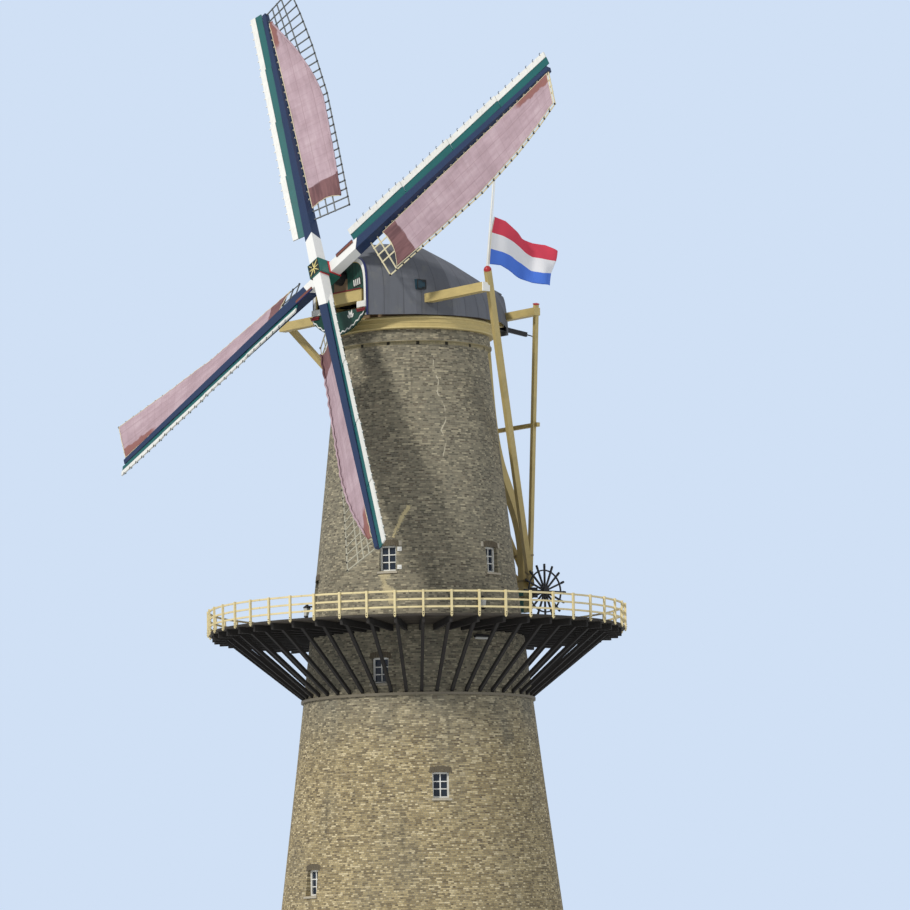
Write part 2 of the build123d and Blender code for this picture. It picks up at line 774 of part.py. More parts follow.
def lattice():
    bars = []
    for i in range(bar_count):
        r = first_bar + i * bar_spacing
        twist, width = lattice_at(r)
        turn = math.radians(abs(twist))
        near = (stock_half(r - bar_width) + bar_thickness / 2 * math.sin(turn)) / math.cos(turn) + seat_gap
        bars.append(beam(sail_point(r, near), sail_point(r, width), bar_width, bar_thickness, (1, 0, 0)))
    bends = [first_bar + bar * bar_spacing for bar, twist, width in lattice_stations]
    bends[0] -= bar_width
    bends[-1] += bar_width
    for part in lath_parts:
        for low, high in zip(bends, bends[1:]):
            start = sail_point(low, part * lattice_at(low)[1])
            end = sail_point(high, part * lattice_at(high)[1])
            across = sail_point((low + high) / 2, 1) - Vector((low + high) / 2, 0, 0)
            bars.append(beam(start, end, lath_width, lath_thickness, across))
    return bars[0].fuse(*bars[1:])


def board_panel(index):
    """One windboard with the bar ends that carry it, and its white leading strip."""
    per_board = bar_count // board_count
    first = first_bar + index * per_board * bar_spacing
    last = first + (per_board - 1) * bar_spacing
    start = first - (bar_spacing - board_joint) / 2 if index else board_root
    end = last + (bar_spacing - board_joint) / 2
    angle = board_root_angle + (board_tip_angle - board_root_angle) * (index + 0.5) / board_count
    turn = math.radians(angle)
    stock_side = stock_half(first - bar_width / 2) + seat_gap
    near = (stock_side + bar_thickness / 2 * math.sin(turn)) / math.cos(turn)
    middle = 0.5 * (start + end)
    board_edge = near + board_space + board_width
    lift = bar_thickness / 2
    board = Box(end - start, board_width, board_thickness)
    board_lift = lift - board_housing + board_thickness / 2
    board = board.moved(Location((middle, board_edge - board_width / 2, board_lift)))
    strip = Box(end - start, leading_width, leading_thickness)
    strip = strip.moved(Location((middle, board_edge + seat_gap + leading_width / 2,
                                  lift + seat_gap + leading_thickness / 2)))
    length = board_edge + leading_width - near
    for j in range(per_board):
        stub = Box(bar_width, length, bar_thickness)
        board = board + stub.moved(Location((first + j * bar_spacing, near + length / 2, 0)))
    slope = Location((0, 0, 0), (angle, 0, 0))
    return board.moved(slope), strip.moved(slope)


def cloth_lift(edge):
    """Height of the cloth over the bars' middle, clear of the edges of the flat bars it twists over."""
    dips = []
    for i in range(bar_count):
        r = first_bar + i * bar_spacing
        if edge[0][0] <= r <= edge[-1][0]:
            before, here, after = [lattice_at(r + step * bar_width / 2)[0] for step in (-1, 0, 1)]
            turn = max(abs(after - here), abs(here - before))
            dips.append(between(edge, r)[0] * math.radians(turn))
    return bar_thickness / 2 + 2 * seat_gap + max(dips)


def cloth(edge):
    """Sail cloth in front of the bars, out to an edge of (radius, distance behind the stock) points."""
    lift = cloth_lift(edge)
    bars = [first_bar + i * bar_spacing for i in range(bar_count)]
    radii = {r for r, distance in edge} | {r for r in bars if edge[0][0] < r < edge[-1][0]}
    sections = []
    for r in sorted(radii):
        turn = math.radians(lattice_at(r)[0])
        normal = Vector(0, -math.sin(turn), math.cos(turn))
        inner = sail_point(r, stock_half(r) + cloth_stock_space) + normal * lift
        outer = sail_point(r, between(edge, r)[0]) + normal * lift
        sections.append([inner, outer, outer + normal * cloth_thickness, inner + normal * cloth_thickness])
    return skin(sections)


def make_sails():
    layers = (stock_spacing / 2, -stock_spacing / 2)
    angles = [rest_angle + 90 * i for i in range(4)]
    stock = skin([[Vector(x, -h, -h), Vector(x, h, -h), Vector(x, h, h), Vector(x, -h, h)]
                  for x, h in ((-stock_half_length, stock_tip_size / 2), (-poll_size, stock_root_size / 2),
                               (poll_size, stock_root_size / 2), (stock_half_length, stock_tip_size / 2))])
    save("stock_outer", stock.moved(sail_place(angles[0], layers[0])))
    save("stock_inner", stock.moved(sail_place(angles[1], layers[1])))

    poll = Box(poll_size, poll_size, poll_front + poll_back)
    poll = poll.moved(Location((0, 0, (poll_front - poll_back) / 2))).moved(sail_place(angles[0], 0))
    hole = Box(2 * poll_size, stock_root_size + 2 * seat_gap, stock_root_size + 2 * seat_gap)
    for angle, layer in zip(angles, layers):
        poll = poll - hole.moved(sail_place(angle, layer))
    save("poll_end", poll)

    place = sail_place(angles[0], 0)
    tail_y = tail_beam_y + tail_beam_depth
    shaft_end = (hub_forward + tail_y) / math.cos(tilt) + journal_radius
    neck_end = (hub_forward + sheer_front + weather_beam_depth) / math.cos(tilt) + neck_radius
    journal_start = (hub_forward + tail_y - tail_beam_depth) / math.cos(tilt) - shaft_radius
    profile = [(0, -poll_back), (neck_radius, -poll_back), (neck_radius, -neck_end),
               (shaft_radius, -neck_end - shaft_step), (shaft_radius, -journal_start),
               (journal_radius, -journal_start), (journal_radius, -shaft_end), (0, -shaft_end)]
    save("windshaft", turned(profile, 0, 360).moved(place))

    frame = lattice()
    boards = []
    strips = []
    for i, angle in enumerate(angles):
        place = sail_place(angle, layers[i % 2])
        save("sail_lattice_%d" % (i + 1), frame.moved(place))
        for j in range(board_count):
            board, strip = board_panel(j)
            boards.append(board.moved(place))
            strips.append(strip.moved(place))
        sail = cloth(full_cloth if i % 2 else reefed_cloth)
        save("sail_cloth_%d" % (i + 1), sail.moved(place))
    save("windboards", *boards)
    save("leading_edges", *strips)


os.makedirs("parts", exist_ok=True)
make_tower()
make_openings()
make_stage()
make_cap_frame()
make_cap_cover()
make_beard()
make_tail()
make_flag()
make_winch()
make_sails()
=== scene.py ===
import math

import bmesh
import bpy
from mathutils import Matrix, Vector, noise


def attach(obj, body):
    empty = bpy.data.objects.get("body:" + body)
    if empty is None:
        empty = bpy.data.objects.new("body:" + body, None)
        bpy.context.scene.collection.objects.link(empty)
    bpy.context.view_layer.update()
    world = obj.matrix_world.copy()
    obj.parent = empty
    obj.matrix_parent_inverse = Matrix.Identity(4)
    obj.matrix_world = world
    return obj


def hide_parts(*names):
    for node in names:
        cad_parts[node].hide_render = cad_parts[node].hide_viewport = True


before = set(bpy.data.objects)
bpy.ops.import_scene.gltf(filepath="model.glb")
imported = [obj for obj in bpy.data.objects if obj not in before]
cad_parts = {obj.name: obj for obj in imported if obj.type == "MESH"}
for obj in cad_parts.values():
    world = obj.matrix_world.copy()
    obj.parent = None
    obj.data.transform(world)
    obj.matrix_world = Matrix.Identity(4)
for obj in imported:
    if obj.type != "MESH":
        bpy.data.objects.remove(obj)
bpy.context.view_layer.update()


# The camera stands low, to the left of the mill's front, and looks up past the stage, with a long lens and a
# slight roll. The background is a pale blue. The key light comes high from the front, and a weaker fill comes
# from the mill's left.
def tint(red, green, blue):
    """A colour given from 0 to 255 as it shows on a screen, in the values that a shader takes."""
    linear = [c / 255 / 12.92 if c < 11 else ((c / 255 + 0.055) / 1.055) ** 2.4 for c in (red, green, blue)]
    return (*linear, 1.0)


def at(x, y, z):
    """Frame that stands at a place."""
    return Matrix.Translation((x, y, z))


def about(axis, angle):
    """Frame turned about one axis, by an angle in radians."""
    return Matrix.Rotation(angle, 4, axis)


def added(name, data):
    """New object in the scene."""
    made = bpy.data.objects.new(name, data)
    bpy.context.collection.objects.link(made)
    return made


right = Vector((0.637363, 0.770336, -0.018740))
upward = Vector((0.103968, -0.061873, 0.992654))
ahead = Vector((-0.763518, 0.634629, 0.119526))
lens = bpy.data.cameras.new("view")
lens.lens = 186.07
lens.sensor_width = 36.0
lens.clip_end = 1000.0
stand = at(70.4748, -57.5393, 0.8)
camera = added("view", lens)
camera.matrix_world = stand @ Matrix((right, upward, -ahead)).transposed().to_4x4()
bpy.context.scene.camera = camera
bpy.context.scene.view_settings.view_transform = "Standard"

world = bpy.data.worlds.new("studio")
world.use_nodes = True
bpy.context.scene.world = world
sky = world.node_tree
sky.nodes.clear()
soft = sky.nodes.new("ShaderNodeBackground")
soft.inputs["Color"].default_value = tint(238, 242, 250)
soft.inputs["Strength"].default_value = 0.50
shown = sky.nodes.new("ShaderNodeBackground")
shown.inputs["Color"].default_value = tint(208, 224, 245)
shown.inputs["Strength"].default_value = 1.0
path = sky.nodes.new("ShaderNodeLightPath")
either = sky.nodes.new("ShaderNodeMath")
either.operation = "MAXIMUM"
choose = sky.nodes.new("ShaderNodeMixShader")
out = sky.nodes.new("ShaderNodeOutputWorld")
sky.links.new(path.outputs["Is Camera Ray"], either.inputs[0])
sky.links.new(path.outputs["Is Transmission Ray"], either.inputs[1])
sky.links.new(either.outputs[0], choose.inputs[0])
sky.links.new(soft.outputs[0], choose.inputs[1])
sky.links.new(shown.outputs[0], choose.inputs[2])
sky.links.new(choose.outputs[0], out.inputs[0])

for name, strength, spread, towards in (("key", 2.3, 7.0, (-0.10, 0.80, -0.55)),
                                        ("fill", 0.45, 40.0, (-0.75, -0.10, -0.35))):
    lamp = bpy.data.lights.new(name, "SUN")
    lamp.energy = strength
    lamp.angle = math.radians(spread)
    lamp.color = (1.0, 0.97, 0.92) if name == "key" else (0.92, 0.96, 1.0)
    added(name, lamp).rotation_euler = Vector(towards).to_track_quat("-Z", "Y").to_euler()


# Round brick tower, laid in mortar in courses of long and short bricks that keep to the ring, so each course
# has its own whole number of bricks. The brick is grey-olive above the stage and yellower below, with cracks
# and pale repairs.
class Value:
    """One number, colour or vector in a material. The arithmetic written on it becomes Math nodes."""

    def __init__(self, finish, socket):
        self.finish = finish
        self.socket = socket

    def math(self, operation, *numbers):
        return self.finish.node("Math", {"operation": operation}, dict(enumerate(numbers)))

    def __add__(self, other):
        return self.math("ADD", self, other)

    def __radd__(self, other):
        return self.math("ADD", other, self)

    def __sub__(self, other):
        return self.math("SUBTRACT", self, other)

    def __rsub__(self, other):
        return self.math("SUBTRACT", other, self)

    def __mul__(self, other):
        return self.math("MULTIPLY", self, other)

    def __rmul__(self, other):
        return self.math("MULTIPLY", other, self)

    def __truediv__(self, other):
        return self.math("DIVIDE", self, other)

    def __rtruediv__(self, other):
        return self.math("DIVIDE", other, self)

    def __mod__(self, other):
        return self.math("FLOORED_MODULO", self, other)

    def __pow__(self, other):
        return self.math("POWER", self, other)

    def __abs__(self):
        return self.math("ABSOLUTE", self)

    def floor(self):
        return self.math("FLOOR", self)

    def least(self, other):
        return self.math("MINIMUM", self, other)

    def most(self, other):
        return self.math("MAXIMUM", self, other)

    def rise(self, low, high):
        """0 below low, 1 above high."""
        return self.finish.node("MapRange", {"interpolation_type": "SMOOTHSTEP"}, {0: self, 1: low, 2: high})

    def bearing_from(self, x):
        """Angle in radians about the mill's axis of a place whose y is this number."""
        return self.math("ARCTAN2", self, x)

    def parts(self):
        split = self.finish.node("SeparateXYZ", feeds={0: self}).socket.node
        return [Value(self.finish, output) for output in split.outputs]


class Finish:
    """A procedural material: one Principled shader and the nodes that feed it."""

    def __init__(self, name, roughness=0.6):
        self.material = bpy.data.materials.new(name)
        self.material.use_nodes = True
        self.tree = self.material.node_tree
        self.shader = self.tree.nodes["Principled BSDF"]
        self.shader.inputs["Roughness"].default_value = roughness
        self.place = self.node("TexCoord", out="Object")

    def node(self, kind, settings=None, feeds=None, out=0):
        made = self.tree.nodes.new("ShaderNode" + kind)
        for key, value in (settings or {}).items():
            if key == "stops":
                ramp = made.color_ramp.elements
                while len(ramp) < len(value):
                    ramp.new(1.0)
                for element, (position, colour) in zip(ramp, value):
                    element.position = position
                    element.color = colour
            else:
                setattr(made, key, value)
        for key, value in (feeds or {}).items():
            self.feed(made.inputs[key], value)
        return Value(self, made.outputs[out])

    def feed(self, socket, value):
        if isinstance(value, Value):
            self.tree.links.new(value.socket, socket)
        else:
            socket.default_value = value

    def vector(self, x=0.0, y=0.0, z=0.0):
        return self.node("CombineXYZ", feeds={0: x, 1: y, 2: z})

    def stretched(self, where, by):
        """A place with its numbers multiplied, so that a pattern there is drawn out or pressed together."""
        return self.node("VectorMath", {"operation": "MULTIPLY"}, {0: where, 1: by})

    def noise(self, where, scale, detail=2.0, rough=0.5):
        feeds = {"Vector": where, "Scale": scale, "Detail": detail, "Roughness": rough}
        return self.node("TexNoise", feeds=feeds)

    def chance(self, where):
        """A fixed number from 0 to 1 for each whole-numbered place."""
        return self.node("TexWhiteNoise", {"noise_dimensions": "3D"}, {"Vector": where})

    def ramp(self, value, *stops):
        return self.node("ValToRGB", {"stops": stops}, {0: value})

    def mix(self, share, first, second):
        return self.node("Mix", {"data_type": "RGBA"}, {0: share, 6: first, 7: second}, out=2)

    def finish(self, colour, roughness=None, relief=None, depth=1.0):
        self.feed(self.shader.inputs["Base Color"], colour)
        if roughness is not None:
            self.feed(self.shader.inputs["Roughness"], roughness)
        if relief is not None:
            bump = self.node("Bump", feeds={"Height": relief, "Strength": 1.0, "Distance": depth})
            self.feed(self.shader.inputs["Normal"], bump)
        return self

    def over(self, share, colour):
        """A second colour over the finished one, wherever the share is 1."""
        base = self.shader.inputs["Base Color"]
        under = Value(self, base.links[0].from_socket)
        self.feed(base, self.mix(share, under, colour))


def dress(finish, *names):
    """Gives CAD pieces their finish through their own material slots."""
    for name in names:
        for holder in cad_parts[name].material_slots:
            holder.material = finish.material


foot_radius, batter, hollow = 3.095, 0.13354, 0.0011437


def wall_radius(height):
    """Radius of the brickwork at a height: it narrows upwards in a slightly hollow line."""
    return foot_radius - height * batter + height * height * hollow


course = 0.0325
stretcher = 0.11
joint = 0.0028
brick = Finish("brickwork", roughness=0.9)
x, y, z = brick.place.parts()
bearing = y.bearing_from(x)
row = (z / course).floor()
radius = wall_radius((row + 0.5) * course)
header = row % 2.0
stretchers_round = radius * (2 * math.pi / stretcher)
bricks_round = stretchers_round.math("ROUND", stretchers_round) * (1.0 + header)
along = (bearing / (2 * math.pi) + 0.5) * bricks_round + (row / 2.0).floor() * 0.5 + header * 0.5
cell = along.floor()
brick_width = radius * (2 * math.pi) / bricks_round
across = along - cell
upright = z / course - row
edge = (across.least(1.0 - across) * brick_width).least(upright.least(1.0 - upright) * course)
wear = brick.noise(brick.place, 38.0, 3.0, 0.6)
body = (edge + (wear - 0.5) * 0.003).rise(joint * 0.5, joint * 1.6)
luck = brick.chance(brick.vector(cell, row, 3.0))
second_luck = brick.chance(brick.vector(cell, row, 17.0))
flow = brick.vector(bearing * 2.2, z * 0.35, 0.0)
cloud = brick.noise(flow, 1.3, 4.0, 0.6)
streak = brick.noise(brick.vector(bearing * 14.0, z * 0.5, 2.0), 1.0, 3.0, 0.6)
clay = brick.ramp(luck, (0.0, tint(92, 88, 74)), (0.25, tint(120, 114, 96)), (0.5, tint(138, 131, 110)),
                  (0.8, tint(152, 144, 121)), (1.0, tint(182, 172, 144)))
yellow = brick.ramp(luck, (0.0, tint(108, 93, 64)), (0.2, tint(138, 121, 85)), (0.5, tint(163, 146, 105)),
                    (0.8, tint(184, 166, 122)), (1.0, tint(214, 198, 158)))
low = 1.0 - (z + (cloud - 0.5) * 1.6).rise(5.4, 7.4)
colour = brick.mix(low, clay, yellow)
burnt = second_luck.rise(0.86, 0.90) * 0.4
colour = brick.mix(burnt, colour, tint(78, 62, 50))
colour = brick.mix(cloud.rise(0.45, 0.75) * 0.3, colour, tint(104, 105, 97))
mortar = brick.mix(cloud, tint(152, 146, 128), tint(126, 121, 106))
colour = brick.mix(body, mortar, colour)
soot = streak.rise(0.50, 0.78) * (0.15 + cloud * 0.4)
colour = brick.mix(soot, colour, tint(62, 60, 52))
damp = (1.0 - (z + (cloud - 0.5) * 0.8).rise(0.1, 1.1)) * 0.7
colour = brick.mix(damp, colour, tint(66, 68, 48))


crack_radius = 1.75


def near_line(places, wander):
    """How far a point of the wall lies from a line of (bearing in degrees, height) places, in metres."""
    ragged = (brick.noise(brick.place, 5.0, 4.0, 0.7) - 0.5) * (wander * 2)
    closest = None
    for (b1, z1), (b2, z2) in zip(places, places[1:]):
        x1, x2 = math.radians(b1) * crack_radius, math.radians(b2) * crack_radius
        dx, dz = x2 - x1, z2 - z1
        px, pz = bearing * crack_radius - x1, z - z1
        share = ((px * dx + pz * dz) / (dx * dx + dz * dz)).most(0.0).least(1.0)
        off = ((px - share * dx) ** 2.0 + (pz - share * dz) ** 2.0) ** 0.5 + ragged
        closest = off if closest is None else closest.least(off)
    return closest


crack = near_line(((-23.3, 13.5), (-24.3, 13.23), (-20.5, 13.03), (-22.1, 12.8), (-17.0, 12.5), (-16.7, 12.25),
                   (-20.7, 12.05), (-17.2, 11.86), (-19.4, 11.62), (-22.6, 11.37)), 0.03)
repair = near_line(((-43.4, 10.55), (-46.6, 10.38), (-49.2, 10.22), (-52.4, 10.0)), 0.07)
patch = near_line(((-56.3, 9.31), (-57.4, 9.16), (-55.0, 8.96), (-52.6, 8.75)), 0.12)
broken = brick.noise(brick.place, 6.0, 2.0).rise(0.42, 0.50)
colour = brick.mix((1.0 - crack.rise(0.004, 0.014)) * broken * 0.8, colour, tint(202, 194, 170))
rough = (wear - 0.5) * 0.14
colour = brick.mix((1.0 - (repair + rough).rise(0.02, 0.05)) * 0.85, colour, tint(218, 202, 154))
colour = brick.mix((1.0 - (patch + rough).rise(0.04, 0.09)) * 0.7, colour, tint(206, 192, 152))
footing = 1.0 - abs(z - 13.77).rise(0.030, 0.036)
colour = brick.mix(footing * body * 0.55, colour, tint(196, 182, 136))
# A row of putlog holes round the top of the tower. Each is painted near-black as the shade inside it, and
# dented a little.
hole_step, hole_turn, degree_of_wall = 22.5, 46.15, 0.0258
from_hole = ((bearing * (180 / math.pi) + hole_turn + 360.0) % hole_step - hole_step / 2) * degree_of_wall
hole = 1.0 - abs(from_hole).most(abs(z - 13.765)).rise(0.029, 0.033)
colour = brick.mix(hole * 0.92, colour, tint(26, 24, 20))
brick.finish(colour, wear * 0.15 + 0.8, body * 0.0035 + wear * 0.002 - hole * 0.02)
dress(brick, "lower_wall_a", "lower_wall_b", "upper_wall_a", "upper_wall_b", "brick_cornice")


# Plank floors inside the tower and a slab floor at its foot. Their coat, with grain, dirt and slight fading,
# is also the one of every painted, tarred or worn piece that follows.
def painted(name, colour, grain=(1.0, 1.0, 1.0), dirt=0.25, roughness=0.5, dark=None, relief=0.0012,
            around=False):
    """Coat of paint on timber; grain stretches the pattern along the piece."""
    coat = Finish(name, roughness)
    where = coat.place
    if around:
        x, y, z = coat.place.parts()
        ring = (x * x + y * y) ** 0.5
        where = coat.vector(ring, y.bearing_from(x) * 3.0, z)
    fibre = coat.noise(coat.stretched(where, grain), 26.0, 4.0, 0.65)
    patch = coat.noise(coat.place, 2.2, 3.0, 0.6)
    shade = dark or tuple(c * 0.45 for c in colour[:3]) + (1.0,)
    toned = coat.mix(fibre.rise(0.35, 0.75) * 0.22, colour, shade)
    toned = coat.mix(patch.rise(0.48, 0.78) * dirt, toned, shade)
    return coat.finish(toned, fibre * 0.25 + (roughness - 0.1), fibre * relief)


oak = painted("frame_oak", tint(126, 104, 78), (1.0, 0.2, 1.0), 0.4, 0.7)
worn_stone = painted("ledge_stone", tint(116, 108, 90), around=True)
dress(oak, "floors")
dress(worn_stone, "ground_floor")


# Windows of white-painted timber, let into the brickwork under brick arches, with a pane of old glass in
# each. One upright and two rails are framed in front of the glass, so a window is two panes wide and three
# high.
white = tint(232, 232, 226)
white_paint = painted("white_paint", white, (1.0, 1.0, 0.2), 0.14, 0.45, tint(150, 150, 140))
dress(white_paint, "window_frames")
# The panes are opaque. Their dark blue-grey is painted shade of the dim inside of the tower, broken by ripples
# in the old glass.
glass = Finish("window_glass", roughness=0.08)
ripple = glass.noise(glass.place, 9.0, 2.0)
glass.finish(glass.mix(ripple, tint(22, 28, 38), tint(46, 58, 74)), relief=ripple * 0.002)
dress(glass, "window_glass")


class Shape:
    """Solids gathered in one mesh, each made where a matrix puts it."""

    def __init__(self):
        self.work = bmesh.new()

    def block(self, place, size, bevel=0.002):
        """Sawn timber, brick or plate with its edges broken."""
        made = bmesh.ops.create_cube(self.work, size=1.0, matrix=place @ Matrix.Diagonal((*size, 1.0)))
        edges = list({edge for corner in made["verts"] for edge in corner.link_edges})
        bmesh.ops.bevel(self.work, geom=edges, offset=bevel, affect="EDGES", segments=1, profile=0.5,
                        material=-1)

    def loft(self, sections, closed=False):
        """Skin through outlines that have the same number of points; closed joins the last to the first."""
        rings = [[self.work.verts.new(point) for point in outline] for outline in sections]
        pairs = list(zip(rings, rings[1:])) + ([(rings[-1], rings[0])] if closed else [])
        for first, second in pairs:
            for i in range(len(first)):
                j = (i + 1) % len(first)
                self.work.faces.new((first[i], first[j], second[j], second[i]))
        if not closed:
            self.work.faces.new(rings[0])
            self.work.faces.new(list(reversed(rings[-1])))

    def plate(self, place, outline, thickness):
        """Flat outline of (x, y) points, thickened along z."""
        self.loft([[place @ Vector((px, py, pz)) for px, py in outline] for pz in (0.0, thickness)])

    def turned(self, place, profile, sides=16):
        """Outline of (radius, height) points spun right round the z of a place."""
        before = set(self.work.verts)
        line = [self.work.verts.new((r, 0.0, height)) for r, height in profile]
        edges = [self.work.edges.new(pair) for pair in zip(line, line[1:])]
        bmesh.ops.spin(self.work, geom=line + edges, cent=(0, 0, 0), axis=(0, 0, 1), angle=2 * math.pi,
                       steps=sides, use_merge=True, use_duplicate=False)
        made = [corner for corner in self.work.verts if corner not in before]
        bmesh.ops.remove_doubles(self.work, verts=made, dist=0.00005)
        made = [corner for corner in self.work.verts if corner not in before]
        bmesh.ops.transform(self.work, matrix=place, verts=made)

    def rod(self, points, radius, sides=8):
        """Round bar or rope along points."""
        points = [Vector(point) for point in points]
        sections = []
        side = None
        for i, point in enumerate(points):
            along = (points[min(i + 1, len(points) - 1)] - points[max(i - 1, 0)]).normalized()
            start = side or (Vector((0, 0, 1)) if abs(along.z) < 0.9 else Vector((1, 0, 0)))
            side = (start - along * start.dot(along)).normalized()
            other = along.cross(side)
            sections.append([point + (side * math.cos(a) + other * math.sin(a)) * radius
                             for a in (2 * math.pi * k / sides for k in range(sides))])
        self.loft(sections)

    def settle(self, name, finish, body, smooth=False):
        """Makes the piece and lets it move with a body."""
        bmesh.ops.recalc_face_normals(self.work, faces=self.work.faces)
        mesh = bpy.data.meshes.new(name)
        self.work.to_mesh(mesh)
        self.work.free()
        if smooth:
            mesh.shade_smooth()
            mesh.set_sharp_from_angle(angle=math.radians(38))
        mesh.materials.append(finish.material)
        piece = added(name, mesh)
        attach(piece, body)
        return piece


def between(table, place):
    """Values of a table at a place between its rows; each row starts with its own place."""
    for first, second in zip(table, table[1:]):
        if place <= second[0]:
            break
    share = (place - first[0]) / (second[0] - first[0])
    return [a + (b - a) * share for a, b in zip(first[1:], second[1:])]


wall_rings = [(z, wall_radius(z)) for z in (0.0, 2.8, 5.6, 8.33, 10.1, 11.9, 13.8)]


def on_wall(bearing, height, proud=0.0, shift=0.0):
    """Place on the wall's face: x to the right as one faces it, y up the wall and z out of it."""
    radius = between(wall_rings, height)[0]
    turn = math.radians(bearing) + shift / radius
    slope = math.atan((between(wall_rings, height - 0.1)[0] - between(wall_rings, height + 0.1)[0]) / 0.2)
    out = Vector((math.cos(turn) * math.cos(slope), math.sin(turn) * math.cos(slope), math.sin(slope)))
    up = Vector((-math.cos(turn) * math.sin(slope), -math.sin(turn) * math.sin(slope), math.cos(slope)))
    middle = Vector((math.cos(turn) * radius, math.sin(turn) * radius, height)) + out * proud
    return Matrix.Translation(middle) @ Matrix((up.cross(out), up, out)).transposed().to_4x4()


window_wide, window_tall = 0.33, 0.49
stage_windows = [(b, 9.575) for b in (-55.5, 10.5, 124.5, -169.5)]
low_windows = [(-58.6, 7.425), (121.4, 7.425), (-29.7, 5.22), (150.3, 5.22), (-90.9, 3.45), (89.1, 3.45)]
windows = [(b, z, window_wide, window_tall) for b, z in stage_windows + low_windows]
deck_top = 8.33
doorways = [(b, deck_top + 0.49, 0.46, 0.98) for b in (60.0, -120.0)]
doorways += [(b, 0.675, 1.1, 1.35) for b in (-90.0, 90.0)]

bars = Shape()
for bearing, height, wide, tall in windows:
    turn = about("Z", math.radians(bearing))
    face = between(wall_rings, height + tall / 2)[0] - 0.07 - 0.03
    inner_wide, inner_tall = wide - 0.068, tall - 0.068
    middle = turn @ at(face + 0.011, 0, height)
    bars.block(middle, (0.022, 0.022, inner_tall), 0.003)
    for side in (-1, 1):
        rail = middle @ at(0.001, 0, side * inner_tall / 6)
        bars.block(rail, (0.022, inner_wide, 0.02), 0.003)
bars.settle("glazing_bars", white_paint, "tower")


# Brick arches over the windows and doorways: a course of bricks set upright, slightly bowed, bedded in the
# wall with their faces a little proud of it.
arch_brick = painted("arch_brick", tint(98, 89, 72), dirt=0.3, roughness=0.85, dark=tint(62, 54, 44),
                     relief=0.002)
arches = Shape()
for bearing, height, wide, tall in windows + doorways:
    count = int(round((wide + 0.10) / 0.047))
    for i in range(count):
        side = (i + 0.5) / count * 2 - 1
        shift = side * (wide / 2 + 0.05)
        lift = height + tall / 2 + 0.062 - 0.03 * side * side
        place = on_wall(bearing, lift, -0.012, shift) @ about("Z", side * 0.16)
        arches.block(place, (0.042, 0.112 + 0.006 * (i % 2), 0.036), 0.003)
arches.settle("window_arches", arch_brick, "tower")


# A stone sill under each window, bedded in the wall and sloped to throw the rain off, and a pale stone at
# each end of the stage windows' arches.
sill_stone = painted("sill_stone", tint(176, 168, 150), dirt=0.35, roughness=0.85, relief=0.002)
stones = Shape()
for bearing, height, wide, tall in windows:
    low_edge = height - tall / 2
    side = wide / 2 + 0.03
    outline = [(0.028, -0.05), (0.028, -0.012), (-0.09, 0.012), (-0.09, -0.05)]
    ends = []
    for shift in (-side, -side / 2, 0.0, side / 2, side):
        place = on_wall(bearing, low_edge, 0.0, shift)
        ends.append([place @ Vector((0, up, out)) for out, up in outline])
    stones.loft(ends)
arch_end = window_tall / 2 + 0.04
for bearing, height in stage_windows:
    for side in (-1, 1):
        stones.block(on_wall(bearing, height + arch_end, -0.005, side * 0.245), (0.06, 0.10, 0.03), 0.004)
stones.settle("window_stones", sill_stone, "tower")


# Doors of green-painted boards, each with its edges broken, nailed over ledges and hung on long iron straps
# that turn on pins. A round iron knob is screwed to the side that opens.
green_paint = painted("green_paint", tint(24, 66, 56), (1.0, 1.0, 0.2), 0.25)
black_iron = painted("black_iron", tint(30, 30, 32), dirt=0.2, roughness=0.55)
dress(green_paint, "stage_doors", "entrance_doors")
knob = [(0, 0), (0.03, 0), (0.03, 0.006), (0.012, 0.01), (0.012, 0.03), (0.024, 0.036), (0.02, 0.052),
        (0, 0.056)]
pin = [(0, 0), (0.012, 0), (0.012, 0.06), (0, 0.06)]
boards, irons = Shape(), Shape()
for bearing, height, wide, tall in doorways:
    turn = about("Z", math.radians(bearing))
    face = between(wall_rings, height + tall / 2)[0] - 0.09
    base = max(height - tall / 2, 0.05)
    head = height + tall / 2
    board_tall = head - base - 0.02
    count = int(round(wide / 0.11))
    for i in range(count):
        y = (i + 0.5) / count * wide - wide / 2
        middle = turn @ at(face + 0.006, y, base + 0.01 + board_tall / 2)
        boards.block(middle, (0.012, wide / count - 0.004, board_tall), 0.003)
    for share in (0.2, 0.8):
        z = base + (head - base) * share
        strap = turn @ at(face + 0.015, -wide * 0.12, z)
        irons.block(strap, (0.008, wide * 0.7, 0.035), 0.003)
        irons.turned(turn @ at(face + 0.02, -wide * 0.47, z - 0.03), pin, 10)
    place = turn @ at(face + 0.014, wide * 0.36, base + tall * 0.46)
    irons.turned(place @ about("Y", math.pi / 2), knob, 14)
boards.settle("door_boards", green_paint, "tower")
irons.settle("door_straps", black_iron, "tower", smooth=True)


# White-painted iron plates with a bolt through each, to the right of one stage window, where a beam's end is
# tied to the wall.
plates = Shape()
for bearing, height in ((-48.5, 9.745), (-48.5, 9.397)):
    plates.block(on_wall(bearing, height, 0.004), (0.085, 0.085, 0.02), 0.004)
    plates.turned(on_wall(bearing, height, 0.012),
                  [(0, 0), (0.02, 0), (0.02, 0.01), (0.012, 0.014), (0, 0.014)], 6)
plates.settle("wall_plates", white_paint, "tower")


